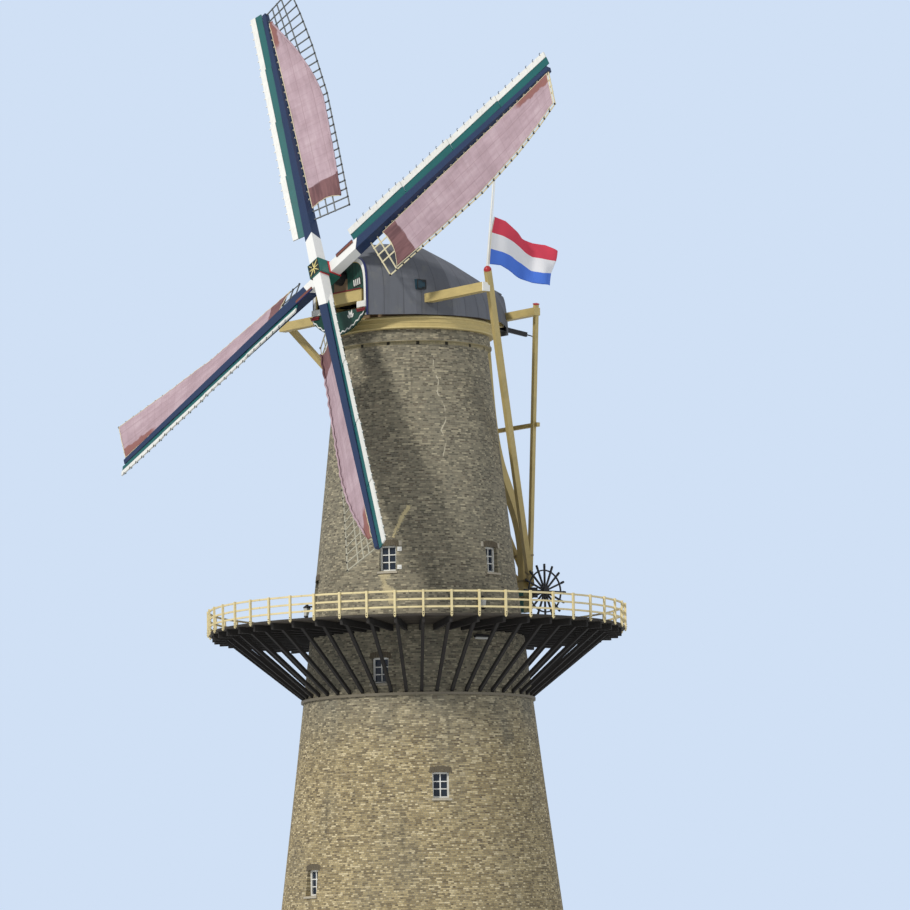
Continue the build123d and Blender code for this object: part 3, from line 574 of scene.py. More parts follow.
# Two lanterns on iron arms over the stage, with tapered glass under a six-sided hood, and one long lamp under
# the deck. Their dark housings are screwed to the wall.
lamp_glass = Finish("lamp_glass", roughness=0.2)
cloudy = lamp_glass.noise(lamp_glass.place, 12.0)
lamp_glass.finish(lamp_glass.mix(cloudy, tint(214, 214, 206), tint(188, 190, 186)))
housings, panes = Shape(), Shape()
for bearing, height in ((-3.1, 8.70), (-127.4, 8.74)):
    place = on_wall(bearing, height, 0.0)
    upright = about("X", -math.pi / 2)
    hood = place @ at(0, 0.06, 0.12) @ upright
    base = place @ at(0, -0.12, 0.12) @ upright
    pane = place @ at(0, -0.10, 0.12) @ upright
    housings.block(place @ at(0, 0.09, 0.05), (0.03, 0.03, 0.12), 0.004)
    housings.turned(hood, [(0, 0.07), (0.02, 0.06), (0.085, 0.0), (0.085, -0.012), (0, -0.012)], 6)
    housings.turned(base, [(0, 0.02), (0.05, 0.02), (0.05, 0.0), (0.02, -0.02), (0, -0.02)], 6)
    panes.turned(pane, [(0, 0.0), (0.046, 0.0), (0.076, 0.148), (0, 0.148)], 6)
housings.block(on_wall(-4.2, 8.06, 0.06), (0.34, 0.05, 0.10), 0.008)
panes.block(on_wall(-4.2, 8.02, 0.06), (0.32, 0.04, 0.08), 0.012)
housings.settle("lantern_housings", black_iron, "tower")
panes.settle("lantern_panes", lamp_glass, "tower")


# Stage carried by tarred struts and joists. The struts stand on a stone ledge that is built out of the
# brickwork, and the joists' inner ends are let into the wall.
dress(worn_stone, "strut_ledge")
tar = painted("tarred_timber", tint(36, 33, 30), (0.3, 1.0, 1.0), 0.4, 0.75, around=True)
dress(tar, "stage_joists", "stage_struts")


# Deck of oak boards that run along each bay, nailed to the joists, with dark gaps between them. Their
# undersides and outer ends are darkened as painted shade.
bays = 48
board_wide = 0.09
deck = Finish("deck_oak", roughness=0.8)
x, y, z = deck.place.parts()
turn = y.bearing_from(x) * (bays / 2 / math.pi)
bay = turn.floor()
share = (turn - bay - 0.5) * (2 * math.pi / bays)
reach = (x * x + y * y) ** 0.5 * share.math("COSINE", share)
board = (reach / board_wide).floor()
seam = reach / board_wide - board
gap = seam.least(1.0 - seam).rise(0.02, 0.06)
luck = deck.chance(deck.vector(board, bay, 5.0))
fibre = deck.noise(deck.vector(reach * 30.0, share * 8.0, board * 0.7), 1.0, 4.0, 0.65)
toned = deck.ramp(luck, (0.0, tint(92, 82, 68)), (0.5, tint(118, 106, 88)), (1.0, tint(142, 130, 110)))
toned = deck.mix(fibre.rise(0.4, 0.8) * 0.35, toned, tint(64, 58, 50))
toned = deck.mix(gap, tint(24, 22, 19), toned)
# Painted shade: the underside and the outer rim of the deck are darkened.
underside_painted_shade = 1.0 - z.rise(8.292, 8.296)
toned = deck.mix(underside_painted_shade * 0.75, toned, tint(34, 31, 28))
rim_painted_shade = reach.rise(4.012, 4.018)
toned = deck.mix(rim_painted_shade * 0.85, toned, tint(28, 26, 24))
deck.finish(toned, fibre * 0.2 + 0.7, gap * 0.003 + fibre * 0.001)
dress(deck, "stage_deck")


# Railing of cream-painted posts and bent rails round the stage. Each post is held to the deck's rim by two
# iron coach bolts with domed heads and washers.
cream = painted("cream_rail", tint(226, 210, 160), (1.0, 0.3, 1.0), 0.2, around=True)
dress(cream, "railing_posts", "railing_rails")
bolt_head = [(0, 0), (0.011, 0), (0.011, 0.003), (0.007, 0.004), (0.005, 0.008), (0, 0.009)]
bolts = Shape()
for i in range(bays):
    turn = about("Z", 2 * math.pi / bays * i)
    for height in (8.31, 8.35):
        place = turn @ at(4.07, 0, height) @ about("Y", math.pi / 2)
        bolts.turned(place, bolt_head, 8)
bolts.settle("post_bolts", black_iron, "tower", smooth=True)


# Curb of ochre-painted timber on which the cap turns, with mouldings run right round it: a rounded bead at
# its head, a smaller one at its foot and a thin one between them.
ochre = tint(196, 176, 116)
dress(painted("ochre_curb", ochre, (1.0, 0.2, 1.0), 0.3, around=True), "curb_ring")
ring = Shape()
for radius, height, half in ((1.592, 14.245, 0.022), (1.592, 14.052, 0.018), (1.592, 14.15, 0.008)):
    profile = [(radius + half * math.cos(a), height + half * math.sin(a)) for a in
               (math.radians(k) for k in range(-90, 91, 30))]
    outline = [(radius - 0.004, height - half)] + profile + [(radius - 0.004, height + half)]
    sections = [[Vector((r * math.cos(t), r * math.sin(t), z)) for r, z in outline]
                for t in (2 * math.pi * k / 96 for k in range(96))]
    ring.loft(sections, closed=True)
ring.settle("curb_mouldings", painted("ochre_bead", tint(206, 188, 130), around=True), "tower", smooth=True)


# Frame of the cap: an oak ring that slides on the curb, oak bearings for the windshaft, and ochre-painted
# beams. The two sprits are beams that stand out at both sides for the braces, and the long one has white
# ends.
dress(oak, "cap_ring", "neck_bearing", "tail_bearing_beam")
ochre_paint = painted("ochre_timber", ochre, (0.15, 1.0, 1.0), 0.3)
dress(ochre_paint, "weather_beam", "short_sprit", "sheers", "tie_beam")
sprit = painted("sprit_paint", ochre, (0.15, 1.0, 1.0), 0.3)
x, y, z = sprit.place.parts()
sprit.over(abs(x).rise(3.15, 3.155), white)
dress(sprit, "long_sprit")


# Roof felt laid in strips from the ridge down to the eave, each lapped over the next and tarred at its edge.
felt = Finish("felt", roughness=0.9)
x, y, z = felt.place.parts()
drift = felt.noise(felt.place, 3.0, 3.0, 0.6)
strip = y / 0.30 + (drift - 0.5) * 0.06
number = strip.floor()
lap = strip - number
seam = (1.0 - lap.rise(0.03, 0.07)) * lap.rise(0.0, 0.02)
luck = felt.chance(felt.vector(number, x.math("SIGN", x), 2.0))
grit = felt.noise(felt.place, 160.0, 2.0, 0.7)
run = felt.noise(felt.stretched(felt.place, (6.0, 14.0, 1.2)), 1.0, 3.0, 0.6)
toned = felt.ramp(luck * 0.55 + grit * 0.45, (0.0, tint(82, 85, 91)), (0.5, tint(99, 102, 109)),
                  (1.0, tint(118, 121, 128)))
toned = felt.mix(run.rise(0.5, 0.8) * 0.35, toned, tint(72, 72, 72))
toned = felt.mix(drift.rise(0.55, 0.75) * 0.25, toned, tint(120, 120, 112))
toned = felt.mix(seam * 0.5, toned, tint(56, 56, 60))
felt.finish(toned, grit * 0.15 + 0.78, lap * 0.004 + grit * 0.0015)
dress(felt, "cap_cover")


# Lead roll along the ridge, beaten over the top of the felt and nailed at both sides. It follows the roof's
# outlines, each given by its distance behind the tower's axis and the height of the ridge there.
ridge_line = ((-1.75, 15.43), (-1.375, 15.63), (-1.0, 15.80), (-0.25, 15.85), (0.35, 15.70), (1.1, 15.41),
              (1.65, 15.27), (2.1, 15.185), (2.35, 15.09))
half_roll = ((0.075, -0.03), (0.075, -0.004), (0.028, 0.008), (0.014, 0.026))
roll = Shape()
sections = []
for i in range(41):
    y = -1.74 + i * 0.1
    top = between(ridge_line, y)[0]
    left = [Vector((-out, y, top + lift)) for out, lift in half_roll]
    sections.append(left + [Vector((out, y, top + lift)) for out, lift in reversed(half_roll)])
roll.loft(sections)
roll.settle("ridge_roll", painted("lead", tint(112, 114, 118), dirt=0.3, roughness=0.6), "cap")


# Small door in the roof's left side, of blue-painted boards, with an iron-bound frame nailed round it and two
# iron hinges screwed to its face.
dress(painted("hatch_blue", tint(26, 62, 76), dirt=0.25), "cap_hatch")
hatch_face, hatch_back, hatch_height = 1.4115, -0.89, 14.87
trim, straps = Shape(), Shape()
for dy, dz, size in ((0, 0.085, (0.014, 0.22, 0.02)), (0, -0.085, (0.014, 0.22, 0.02)),
                     (0.10, 0, (0.014, 0.02, 0.15)), (-0.10, 0, (0.014, 0.02, 0.15))):
    trim.block(at(hatch_face + 0.004, hatch_back + dy, hatch_height + dz), size, 0.002)
for dz in (0.055, -0.055):
    middle = at(hatch_face + 0.013, hatch_back + 0.06, hatch_height + dz)
    straps.block(middle, (0.006, 0.10, 0.018), 0.002)
trim.settle("hatch_trim", black_iron, "cap")
straps.settle("hatch_hinges", black_iron, "cap")


# Gable of upright tongued boards, painted green, with a vent of four white slats at each side over a black
# plate that stands for the shade in the opening, and a red bead nailed across under them.
gable = Finish("gable_boards", roughness=0.5)
x, y, z = gable.place.parts()
tongue = x / 0.095
number = tongue.floor()
groove = (tongue - number).least(1.0 - (tongue - number)).rise(0.02, 0.09)
grain = gable.noise(gable.stretched(gable.place, (30.0, 30.0, 3.0)), 1.0, 4.0, 0.65)
toned = gable.mix(gable.chance(gable.vector(number, 1.0, 1.0)) * 0.3, tint(28, 74, 62), tint(20, 54, 47))
toned = gable.mix(grain.rise(0.4, 0.75) * 0.25, toned, tint(12, 34, 30))
gable.finish(gable.mix(groove, tint(6, 16, 14), toned), grain * 0.2 + 0.42, groove * 0.004 + grain * 0.001)
dress(gable, "front_gable")
dark_red = painted("dark_red", tint(122, 28, 34), dirt=0.25, roughness=0.45)
vent, slats, bead = Shape(), Shape(), Shape()
for side in (-1, 1):
    lean = at(side * 0.515, -1.752, 14.955) @ about("Y", -side * 0.16)
    # The black plate behind the slats is painted shade for the vent's opening.
    vent.block(lean, (0.25, 0.006, 0.16), 0.002)
    for i in range(4):
        slat = lean @ at(side * (0.056 * i - 0.084), -0.010, 0)
        slats.block(slat, (0.022, 0.02, 0.125), 0.003)
bead.block(at(0, -1.762, 14.826), (1.26, 0.022, 0.024), 0.005)
vent.settle("vent_shadows", black_iron, "cap")
slats.settle("vent_slats", white_paint, "cap")
bead.settle("gable_bead", dark_red, "cap")


# Verge of white board round the gable, with a navy strip outside it and an ochre one inside. Both strips are
# bent to the gable's arch and nailed on.
dress(white_paint, "gable_verge")
gable_half, gable_foot, gable_rise, gable_roundness = 0.815, 14.29, 1.14, 6.0


def arch_strip(name, finish, inner, outer, front, back):
    """Flat strip that follows the arch of the gable between two distances out from the felt."""
    strip = Shape()
    sections = []
    for i in range(-20, 21):
        angle = math.pi / 2 * i / 20
        outline = []
        for out, y in ((inner, front), (outer, front), (outer, back), (inner, back)):
            x = (gable_half + out) * math.copysign(abs(math.sin(angle)) ** (2 / gable_roundness), angle)
            lift = (gable_rise + out) * abs(math.cos(angle)) ** (2 / gable_roundness)
            outline.append(Vector((x, y, gable_foot + lift)))
        sections.append(outline)
    strip.loft(sections)
    strip.settle(name, finish, "cap")


navy_paint = painted("navy_paint", tint(34, 46, 104), (1.0, 1.0, 0.2), 0.15, 0.4)
arch_strip("verge_edge", navy_paint, 0.0065, 0.020, -1.793, -1.7515)
arch_strip("verge_bead", ochre_paint, -0.074, -0.0605, -1.777, -1.7515)


# White blocks under the ends of the weather beam, with a dark-red moulding beneath each, and the green beard
# below it. The beard's white leaves and wavy white edge are sawn from board and nailed on.
dress(green_paint, "beard_board")
blocks, mouldings, carving = Shape(), Shape(), Shape()
for side in (-1, 1):
    blocks.block(at(side * 0.705, -1.812, 14.50), (0.25, 0.045, 0.12), 0.006)
    mouldings.block(at(side * 0.715, -1.842, 14.405), (0.27, 0.034, 0.03), 0.008)
    mouldings.block(at(side * 0.715, -1.838, 14.372), (0.24, 0.026, 0.028), 0.006)
    root = Vector((side * 0.40, -1.829, 14.27))
    for angle, length in ((-62, 0.15), (-25, 0.20), (12, 0.20), (48, 0.15)):
        place = Matrix.Translation(root) @ about("X", math.pi / 2) @ about("Z", math.radians(-side * angle))
        leaf = []
        for k in range(12):
            t = k / 12 * 2 * math.pi
            out = 0.02 + (1 - math.cos(t)) / 2 * length
            wide = math.sin(t) * 0.030 * (0.4 + 0.6 * math.sin(math.pi * min(out / length, 1)))
            leaf.append((wide, out * 0.72))
        carving.plate(place, leaf, 0.008)
beard_half, beard_side, beard_bottom, beard_roundness = 0.825, 14.35, 13.98, 0.8
front, back, edge_tall = -1.8345, -1.8245, 0.024
sections = []
for i in range(-48, 49):
    share = i / 48
    sag = (beard_side - beard_bottom) * abs(math.cos(math.pi / 2 * share)) ** beard_roundness
    low = beard_side - sag + 0.030 + 0.014 * math.cos(i * math.pi / 4)
    x = share * beard_half
    sections.append([Vector((x, back, low)), Vector((x, front, low)), Vector((x, front, low + edge_tall)),
                     Vector((x, back, low + edge_tall))])
carving.loft(sections)
blocks.settle("beam_end_blocks", white_paint, "cap")
mouldings.settle("beam_end_mouldings", dark_red, "cap")
carving.settle("beard_carving", white_paint, "cap")


# Tail pole and braces of ochre-painted timber, which turn the cap. Painted iron straps hold the braces to the
# pole, red caps keep the rain off the braces' end grain, and the pole is painted green from the winch down.
tail = painted("tail_paint", ochre, (1.0, 1.0, 0.12), 0.35)
x, y, z = tail.place.parts()
pole_only = 1.0 - abs(x).rise(0.0795, 0.0803)
tail.over((1.0 - z.rise(9.22, 9.225)) * pole_only, tint(30, 110, 104))
dress(tail, "tail_pole", "long_braces", "short_braces")
straps_round, caps = Shape(), Shape()
round_cap = [(0, 0.075), (0.03, 0.07), (0.055, 0.052), (0.072, 0.02), (0.075, 0.0), (0, 0)]


def band(place, wide, deep, long, thickness=0.006):
    """Iron strap round a square timber that runs along the x of a place."""
    for side in (-1, 1):
        beside = place @ at(0, side * (wide + thickness) / 2, 0)
        across = place @ at(0, 0, side * (deep + thickness) / 2)
        straps_round.block(beside, (long, thickness, deep + 2 * thickness), 0.0015)
        straps_round.block(across, (long, wide, thickness), 0.0015)


def brace_ends(foot, head, over, size, capped_round):
    """Strap near a brace's foot and a cap on its top, which stands a length over the sprit."""
    along = (head - foot).normalized()
    across = (Vector((0, 1, 0)) - along * along.y).normalized()
    axes = Matrix((across, along.cross(across), along)).transposed().to_4x4()
    top = Matrix.Translation(head + along * over) @ axes
    if capped_round:
        caps.turned(top, round_cap, 16)
    else:
        caps.block(top @ at(0, 0, 0.012), (0.098, 0.098, 0.024), 0.006)
    place = Matrix.Translation(foot + along * 0.32) @ axes @ about("Y", math.pi / 2)
    band(place, size + 0.001, size + 0.001, 0.045)


for side in (-1, 1):
    brace_ends(Vector((side * 0.1353, 2.815, 9.33)), Vector((side * 3.10, -0.596, 14.605)), 0.40, 0.11, True)
    brace_ends(Vector((side * 0.1203, 2.815, 9.63)), Vector((side * 1.66, 1.779, 14.495)), 0.17, 0.08, False)
for height in (9.1, 9.42):
    band(at(0, 2.745, height) @ about("Y", math.pi / 2), 0.161, 0.161, 0.04)
straps_round.settle("brace_straps", painted("strap_paint", tint(142, 126, 84), dirt=0.4), "cap")
caps.settle("brace_caps", painted("red_caps", tint(172, 40, 44), dirt=0.15, roughness=0.4), "cap", smooth=True)


# Brake lever of timber painted black, which leaves the roof near the tail, with a thin iron rod let into its
# outer end.
lever = Shape()
lever_lean = about("X", math.radians(-6.5))
lever.block(at(0.16, 2.425, 14.383) @ lever_lean, (0.06, 0.79, 0.09), 0.006)
lever.rod([(0.16, 2.80, 14.342), (0.16, 2.90, 14.328), (0.16, 3.00, 14.312)], 0.012)
lever.settle("brake_lever", black_iron, "cap")


# Winch of black iron: a spoked wheel on an axle that turns in two cheeks, which are bolted to the tail pole's
# foot. Its spokes end in turned grips, and a hemp rope is wound on its drum.
dress(black_iron, "capstan_wheel", "winch_cheeks")
wheel_out, winch_back, winch_height = 0.42, 2.93, 9.20
grip = [(0, -0.006), (0.023, -0.006), (0.026, 0.01), (0.023, 0.035), (0.025, 0.055), (0.018, 0.072), (0, 0.074)]
grips, coil = Shape(), Shape()
wheel = at(wheel_out, winch_back, winch_height)
for i in range(16):
    spoke = wheel @ about("X", 2 * math.pi * i / 16)
    grips.turned(spoke @ at(0, 0, 0.47), grip, 10)
rope_turns, turn_points, drum_half, wound_radius = 6, 12, 0.052, 0.068
points = []
for i in range(rope_turns * turn_points + 1):
    a = 2 * math.pi * i / turn_points
    x = -drum_half + 2 * drum_half * i / (rope_turns * turn_points)
    points.append((x, winch_back + wound_radius * math.sin(a), winch_height + wound_radius * math.cos(a)))
coil.rod(points, 0.0085)
grips.settle("winch_grips", black_iron, "winch", smooth=True)
coil.settle("winch_rope", painted("hemp", tint(168, 150, 112), dirt=0.3, roughness=0.9), "winch", smooth=True)


# Windshaft of cast iron with two crossed stocks wedged in its poll. Both stocks are square steel masts, white
# near the hub and navy beyond, with a mitred edge of the paint.
dress(black_iron, "windshaft")
tilt = math.radians(11.95)
shaft = Vector((0, -math.cos(tilt), math.sin(tilt)))
sail_up = Vector((0, math.sin(tilt), math.cos(tilt)))
hub = Vector((0, -2.155, 15.188))


def sail_place(number):
    """Frame of a sail, counted from 0: x outwards, y towards its leading edge, z to the front."""
    turn = math.radians(28.5 + 90 * number)
    outwards = sail_up * math.cos(turn) + shaft.cross(sail_up) * math.sin(turn)
    layer = -0.118 if number % 2 else 0.118
    axes = Matrix((outwards, shaft.cross(outwards), shaft)).transposed()
    return Matrix.Translation(hub + shaft * layer) @ axes.to_4x4()


def stock_half(r):
    return 0.111 - 0.061 * max(r - 0.322, 0) / 6.328


for number, name, ends in ((0, "stock_outer", (0.93, 0.84)), (1, "stock_inner", (1.03, 0.64))):
    mast = painted("mast_%d" % (number + 1), tint(28, 50, 86), dirt=0.15, roughness=0.4)
    place = sail_place(number)
    offset = mast.node("VectorMath", {"operation": "SUBTRACT"}, {0: mast.place, 1: place.translation})
    x, y, z = [mast.node("VectorMath", {"operation": "DOT_PRODUCT"}, {0: offset, 1: axis}, out="Value")
               for axis in place.to_3x3().transposed()]
    corner = abs(y + 0.105) + abs(z - 0.105)
    reach = ends[0] + x.rise(-0.01, 0.01) * (ends[1] - ends[0])
    painted_white = 1.0 - (abs(x) + corner * 0.45 - reach).rise(0.0, 0.005)
    mast.over(painted_white, tint(236, 236, 232))
    dress(mast, name)


# Wedges of brown-red timber nailed to the front of the inner stock at its leading side, between the poll and
# the boards, each with a navy-painted strip along its outer edge.
wedges, edges = Shape(), Shape()
for number in (1, 3):
    place = sail_place(number)
    wedges.block(place @ at(0.66, 0.092, 0.121), (0.50, 0.056, 0.024), 0.004)
    edges.block(place @ at(0.66, 0.127, 0.117), (0.50, 0.014, 0.034), 0.003)
wedges.settle("stock_wedges", painted("wedge_brown", tint(122, 70, 56), dirt=0.25), "sails")
edges.settle("wedge_edges", navy_paint, "sails")


# Poll of green-painted cast iron: a dark front plate with an eight-rayed cream star round an iron nut, a red
# collar where the inner stock goes through, and a scalloped red trim where the outer one does.
dress(painted("poll_green", tint(30, 104, 94), (1.0, 1.0, 1.0), 0.2, 0.4), "poll_end")
plate, star, nut, collar = Shape(), Shape(), Shape(), Shape()
front = sail_place(0) @ at(0, 0, 0.137)
plate.block(front @ at(0, 0, 0.002), (0.30, 0.30, 0.006), 0.002)
for i in range(8):
    reach = 0.142 if i % 2 == 0 else 0.185
    turn = front @ about("Z", math.pi / 4 * i)
    ray = ((0.018, 0.007, 0.018), (0.07, 0.013, 0.020), (reach * 0.8, 0.008, 0.014), (reach, 0.002, 0.008))
    star.loft([[turn @ Vector((r, -half, 0.004)), turn @ Vector((r, half, 0.004)), turn @ Vector((r, 0, high))]
               for r, half, high in ray])
star.turned(front, [(0, 0.024), (0.03, 0.024), (0.04, 0.016), (0.04, 0.004), (0, 0.004)], 20)
nut.turned(front @ at(0, 0, 0.022), [(0, 0.022), (0.018, 0.022), (0.022, 0.018), (0.022, 0), (0, 0)], 6)
scallop_step, scallop_half, scallop_tall = 0.046, 0.023, 0.026
for side in (-1, 1):
    place = sail_place(1) @ at(side * 0.171, 0, 0)
    for dy, dz, size in ((0, 0.125, (0.018, 0.28, 0.028)), (0, -0.125, (0.018, 0.28, 0.028)),
                         (0.125, 0, (0.018, 0.028, 0.22)), (-0.125, 0, (0.018, 0.028, 0.22))):
        collar.block(place @ at(0, dy, dz), size, 0.004)
    outwards = about("Y", side * math.pi / 2)
    place = sail_place(0) @ at(side * 0.162, 0, 0) @ outwards
    # The quarter that faces forwards is left bare, under the front plate.
    for quarter in ((0, 2, 3) if side > 0 else (0, 1, 2)):
        turned = place @ about("Z", math.pi / 2 * quarter)
        for k in range(5):
            middle = (k - 2) * scallop_step
            outline = [(middle + scallop_half * math.cos(a), 0.112 + scallop_tall * math.sin(a))
                       for a in (math.pi * j / 6 for j in range(7))]
            collar.plate(turned, outline, 0.012)
plate.settle("poll_plate", painted("poll_dark", tint(20, 34, 32), dirt=0.2), "sails")
star.settle("poll_star", painted("star_cream", tint(238, 222, 150), dirt=0.1, roughness=0.4), "sails")
nut.settle("poll_nut", black_iron, "sails")
collar.settle("poll_trim", painted("red_trim", tint(196, 40, 46), dirt=0.15, roughness=0.4), "sails")


# Lattices of cream-painted laths and bars. On two sails the cream is darkened to grey, and on a third a
# little, as painted shade of the bars' shaded undersides. The fourth stays cream. Teal windboards and white
# leading edges run along the other side of the stocks. Every lath is fastened where it crosses a bar.
dress(painted("lattice_painted_shade", tint(98, 102, 102), dirt=0.2), "sail_lattice_1", "sail_lattice_2")
dress(painted("lattice_half_painted_shade", tint(176, 172, 152), dirt=0.2), "sail_lattice_3")
dress(painted("cream_paint", tint(222, 212, 176), dirt=0.2, roughness=0.5), "sail_lattice_4")
dress(painted("teal_boards", tint(18, 96, 96), dirt=0.25, roughness=0.42), "windboards")
dress(white_paint, "leading_edges")
stations = ((1.22, 26.5, 0.89), (2.62, 24.5, 0.93), (4.02, 22.0, 0.96), (5.22, 13.5, 0.932), (6.02, 5.0, 0.90),
            (6.62, -3.0, 0.87))
first_bar, bar_step, bar_count = 1.22, 0.2, 28


def sail_point(r, distance, lift=0.0):
    """Point over the twisted lattice, a distance behind the stock's middle and lifted to its front."""
    turn = math.radians(between(stations, r)[0])
    y = -distance * math.cos(turn) - lift * math.sin(turn)
    return Vector((r, y, -distance * math.sin(turn) + lift * math.cos(turn)))


# Pegs on the leading edges, in line with the bars: white stubs nailed to two sails and bent iron hooks driven
# into the others. A dark knot at the end of each bar, on the trailing edge, ties the cloth down.
def leading_frame(number, i):
    """Frame of a bar's length of leading edge, turned with the boards, and how far out its edge lies."""
    group = i // 7
    slope = math.radians(26.0 - 13.0 * (group + 0.5) / 4)
    near = stock_half(first_bar + 1.4 * group - 0.011) + 0.01 * math.sin(slope) + 0.0003
    edge = near / math.cos(slope) + 0.012 + 0.146 + 0.118
    return sail_place(number) @ about("X", slope), edge


for number in range(4):
    pegs, knots = Shape(), Shape()
    for i in range(bar_count):
        r = first_bar + bar_step * i
        place, edge = leading_frame(number, i)
        if number % 2:
            hook = ((r, edge - 0.02, 0.042), (r, edge + 0.012, 0.046), (r + 0.004, edge + 0.03, 0.038),
                    (r + 0.012, edge + 0.036, 0.022))
            pegs.rod([place @ Vector(point) for point in hook], 0.006, 6)
        else:
            pegs.block(place @ at(r, edge + 0.006, 0.024), (0.026, 0.06, 0.022), 0.003)
        twist, wide = between(stations, r)
        knot = sail_place(number) @ Matrix.Translation(sail_point(r, wide * 0.984, 0.004))
        knots.block(knot @ about("X", math.radians(twist)), (0.034, 0.034, 0.034), 0.006)
    pegs.settle("leading_pegs_%d" % (number + 1), black_iron if number % 2 else white_paint, "sails")
    knots.settle("edge_knots_%d" % (number + 1), black_iron, "sails")


# Canvas of the sails, sewn from lengths of cloth, faded to mauve, with red-brown new cloth at the root and
# worn patches at the tip. Two sails are full. The outer pair is reefed to a point, with its slack rolled up
# along the outer edge.
canvas = Finish("canvas", roughness=0.92)
flat = canvas.node("UVMap", {"uv_map": "cloth"})
r, d = flat.parts()[:2]
weave = canvas.noise(canvas.stretched(flat, (220.0, 220.0, 1.0)), 1.0, 2.0, 0.6)
mottle = canvas.noise(flat, 1.7, 4.0, 0.6)
streaks = canvas.noise(canvas.stretched(flat, (1.2, 11.0, 1.0)), 1.0, 3.0, 0.6)
drips = canvas.noise(canvas.stretched(flat, (9.0, 1.5, 1.0)), 1.0, 3.0, 0.6)
toned = canvas.ramp(mottle * 0.6 + streaks * 0.4, (0.25, tint(150, 128, 134)), (0.5, tint(178, 154, 162)),
                    (0.75, tint(200, 180, 186)))
toned = canvas.mix(drips.rise(0.5, 0.75) * 0.3, toned, tint(158, 132, 136))
seam = abs((d + 0.06) % 0.29 - 0.145)
toned = canvas.mix((1.0 - seam.rise(0.003, 0.007)) * 0.5, toned, tint(134, 108, 112))
# Faint painted shadows of the bars lie across the canvas.
bar_shadow_lines = abs((r - first_bar + 10.0) % bar_step - bar_step / 2)
toned = canvas.mix(bar_shadow_lines.rise(0.086, 0.099) * 0.16, toned, tint(120, 98, 104))
ragged = (drips - 0.5) * 0.16 + (mottle - 0.5) * 0.12
root = 1.0 - (r + ragged - d * 0.08).rise(1.97, 2.0)
patched = canvas.mix(streaks.rise(0.35, 0.65), tint(92, 58, 60), tint(124, 84, 84))
toned = canvas.mix(root * 0.92, toned, patched)
tip = (r + ragged * 1.5).rise(5.55, 5.75) * (1.0 - (d + ragged * 0.9 + (r - 5.6) * -0.12).rise(0.16, 0.20))
toned = canvas.mix(tip * 0.85, toned, canvas.mix(streaks, tint(150, 92, 76), tint(116, 72, 70)))
canvas.finish(toned, weave * 0.1 + 0.85, weave * 0.0006 + mottle * 0.004)
rope = painted("bolt_rope", tint(226, 214, 180), dirt=0.2, roughness=0.85)


def smoothed(table, place):
    """Second column of a table, with its corners rounded off."""
    low, high = table[0][0], table[-1][0]
    spots = [min(max(place + shift, low), high) for shift in (-0.16, -0.08, 0.0, 0.08, 0.16)]
    return sum(between(table, spot)[0] for spot in spots) / 5


full_edge = ((1.60, 0.85), (2.62, 0.885), (4.02, 0.915), (5.22, 0.888), (6.02, 0.858), (6.60, 0.832))
reefed_edge = ((1.48, 0.754), (2.07, 0.788), (2.80, 0.819), (3.83, 0.860), (4.21, 0.835), (4.67, 0.753),
               (5.39, 0.542), (5.81, 0.371), (6.35, 0.16))
cloth_rows, cloth_columns, curl_columns = 110, 20, 10
cloth_thick, roll_radius = 0.005, 0.022


def cloth_rise(number, r, d, outer, end, reefed):
    """How far the canvas stands off the bars: it sags between them and puckers towards its outer corner."""
    seeds = Vector((number * 7.3, 3.1, 0.0))
    ripple = noise.noise(Vector((r * 1.6, d * 5.0, 0)) + seeds) * 0.5 + 0.5
    crease = 1 - abs(noise.noise(Vector((r * 2.3 + d * 1.5, d * 9.0 - r * 1.2, 4)) + seeds)) * 2
    between_bars = math.cos((r - first_bar) / (bar_step / 2) * math.pi) * 0.5 + 0.5
    rise = 0.0165 + 0.004 * between_bars + 0.010 * ripple + 0.010 * max(crease, 0) ** 3
    corner = math.hypot(end - r, outer - d)
    fan = math.atan2(outer - d, end - r + 0.02)
    rise += 0.012 * math.exp(-corner / 0.5) * (0.5 + 0.5 * math.cos(fan * 16)) * min(corner / 0.08, 1)
    if reefed:
        rise += 0.018 * math.exp((d - outer) / 0.10) * (0.5 + 0.5 * math.cos(r * 26 + d * 8))
    return rise


def cloth_lines(number, edge, reefed):
    """Points of one sail's canvas, front and back, row by row outwards, and their places on the flat cloth."""
    place = sail_place(number)
    start, end = edge[0][0], edge[-1][0]
    front, back, marks = [], [], []
    for i in range(cloth_rows + 1):
        u = i / cloth_rows
        line_front, line_back, line_marks = [], [], []
        for j in range(cloth_columns + 1 + (curl_columns if reefed else 0)):
            v = min(j / cloth_columns, 1.0)
            bow = 0.10 * 4 * v * (1 - v) * (1 - u) ** 3
            head = start + bow - (0.0 if reefed else 0.13 * v)
            r = head + (end - head) * u
            inner = stock_half(r) + 0.034
            outer = max(smoothed(edge, r), inner + 0.02)
            d = inner + (outer - inner) * v
            rise = cloth_rise(number, r, d, outer, end, reefed)
            curl = max(j - cloth_columns, 0) / curl_columns * 5.0
            roll = roll_radius * min(1.0, (end - r) / 0.25 + 0.25)
            for line, skin, lift in ((line_front, roll - cloth_thick, cloth_thick / 2),
                                     (line_back, roll, -cloth_thick / 2)):
                if curl:
                    point = sail_point(r, d + skin * math.sin(curl), rise + roll - skin * math.cos(curl))
                else:
                    point = sail_point(r, d, rise + lift)
                line.append(place @ point)
            line_marks.append((r, d + roll * curl))
        front.append(line_front)
        back.append(line_back)
        marks.append(line_marks)
    return front, back, marks


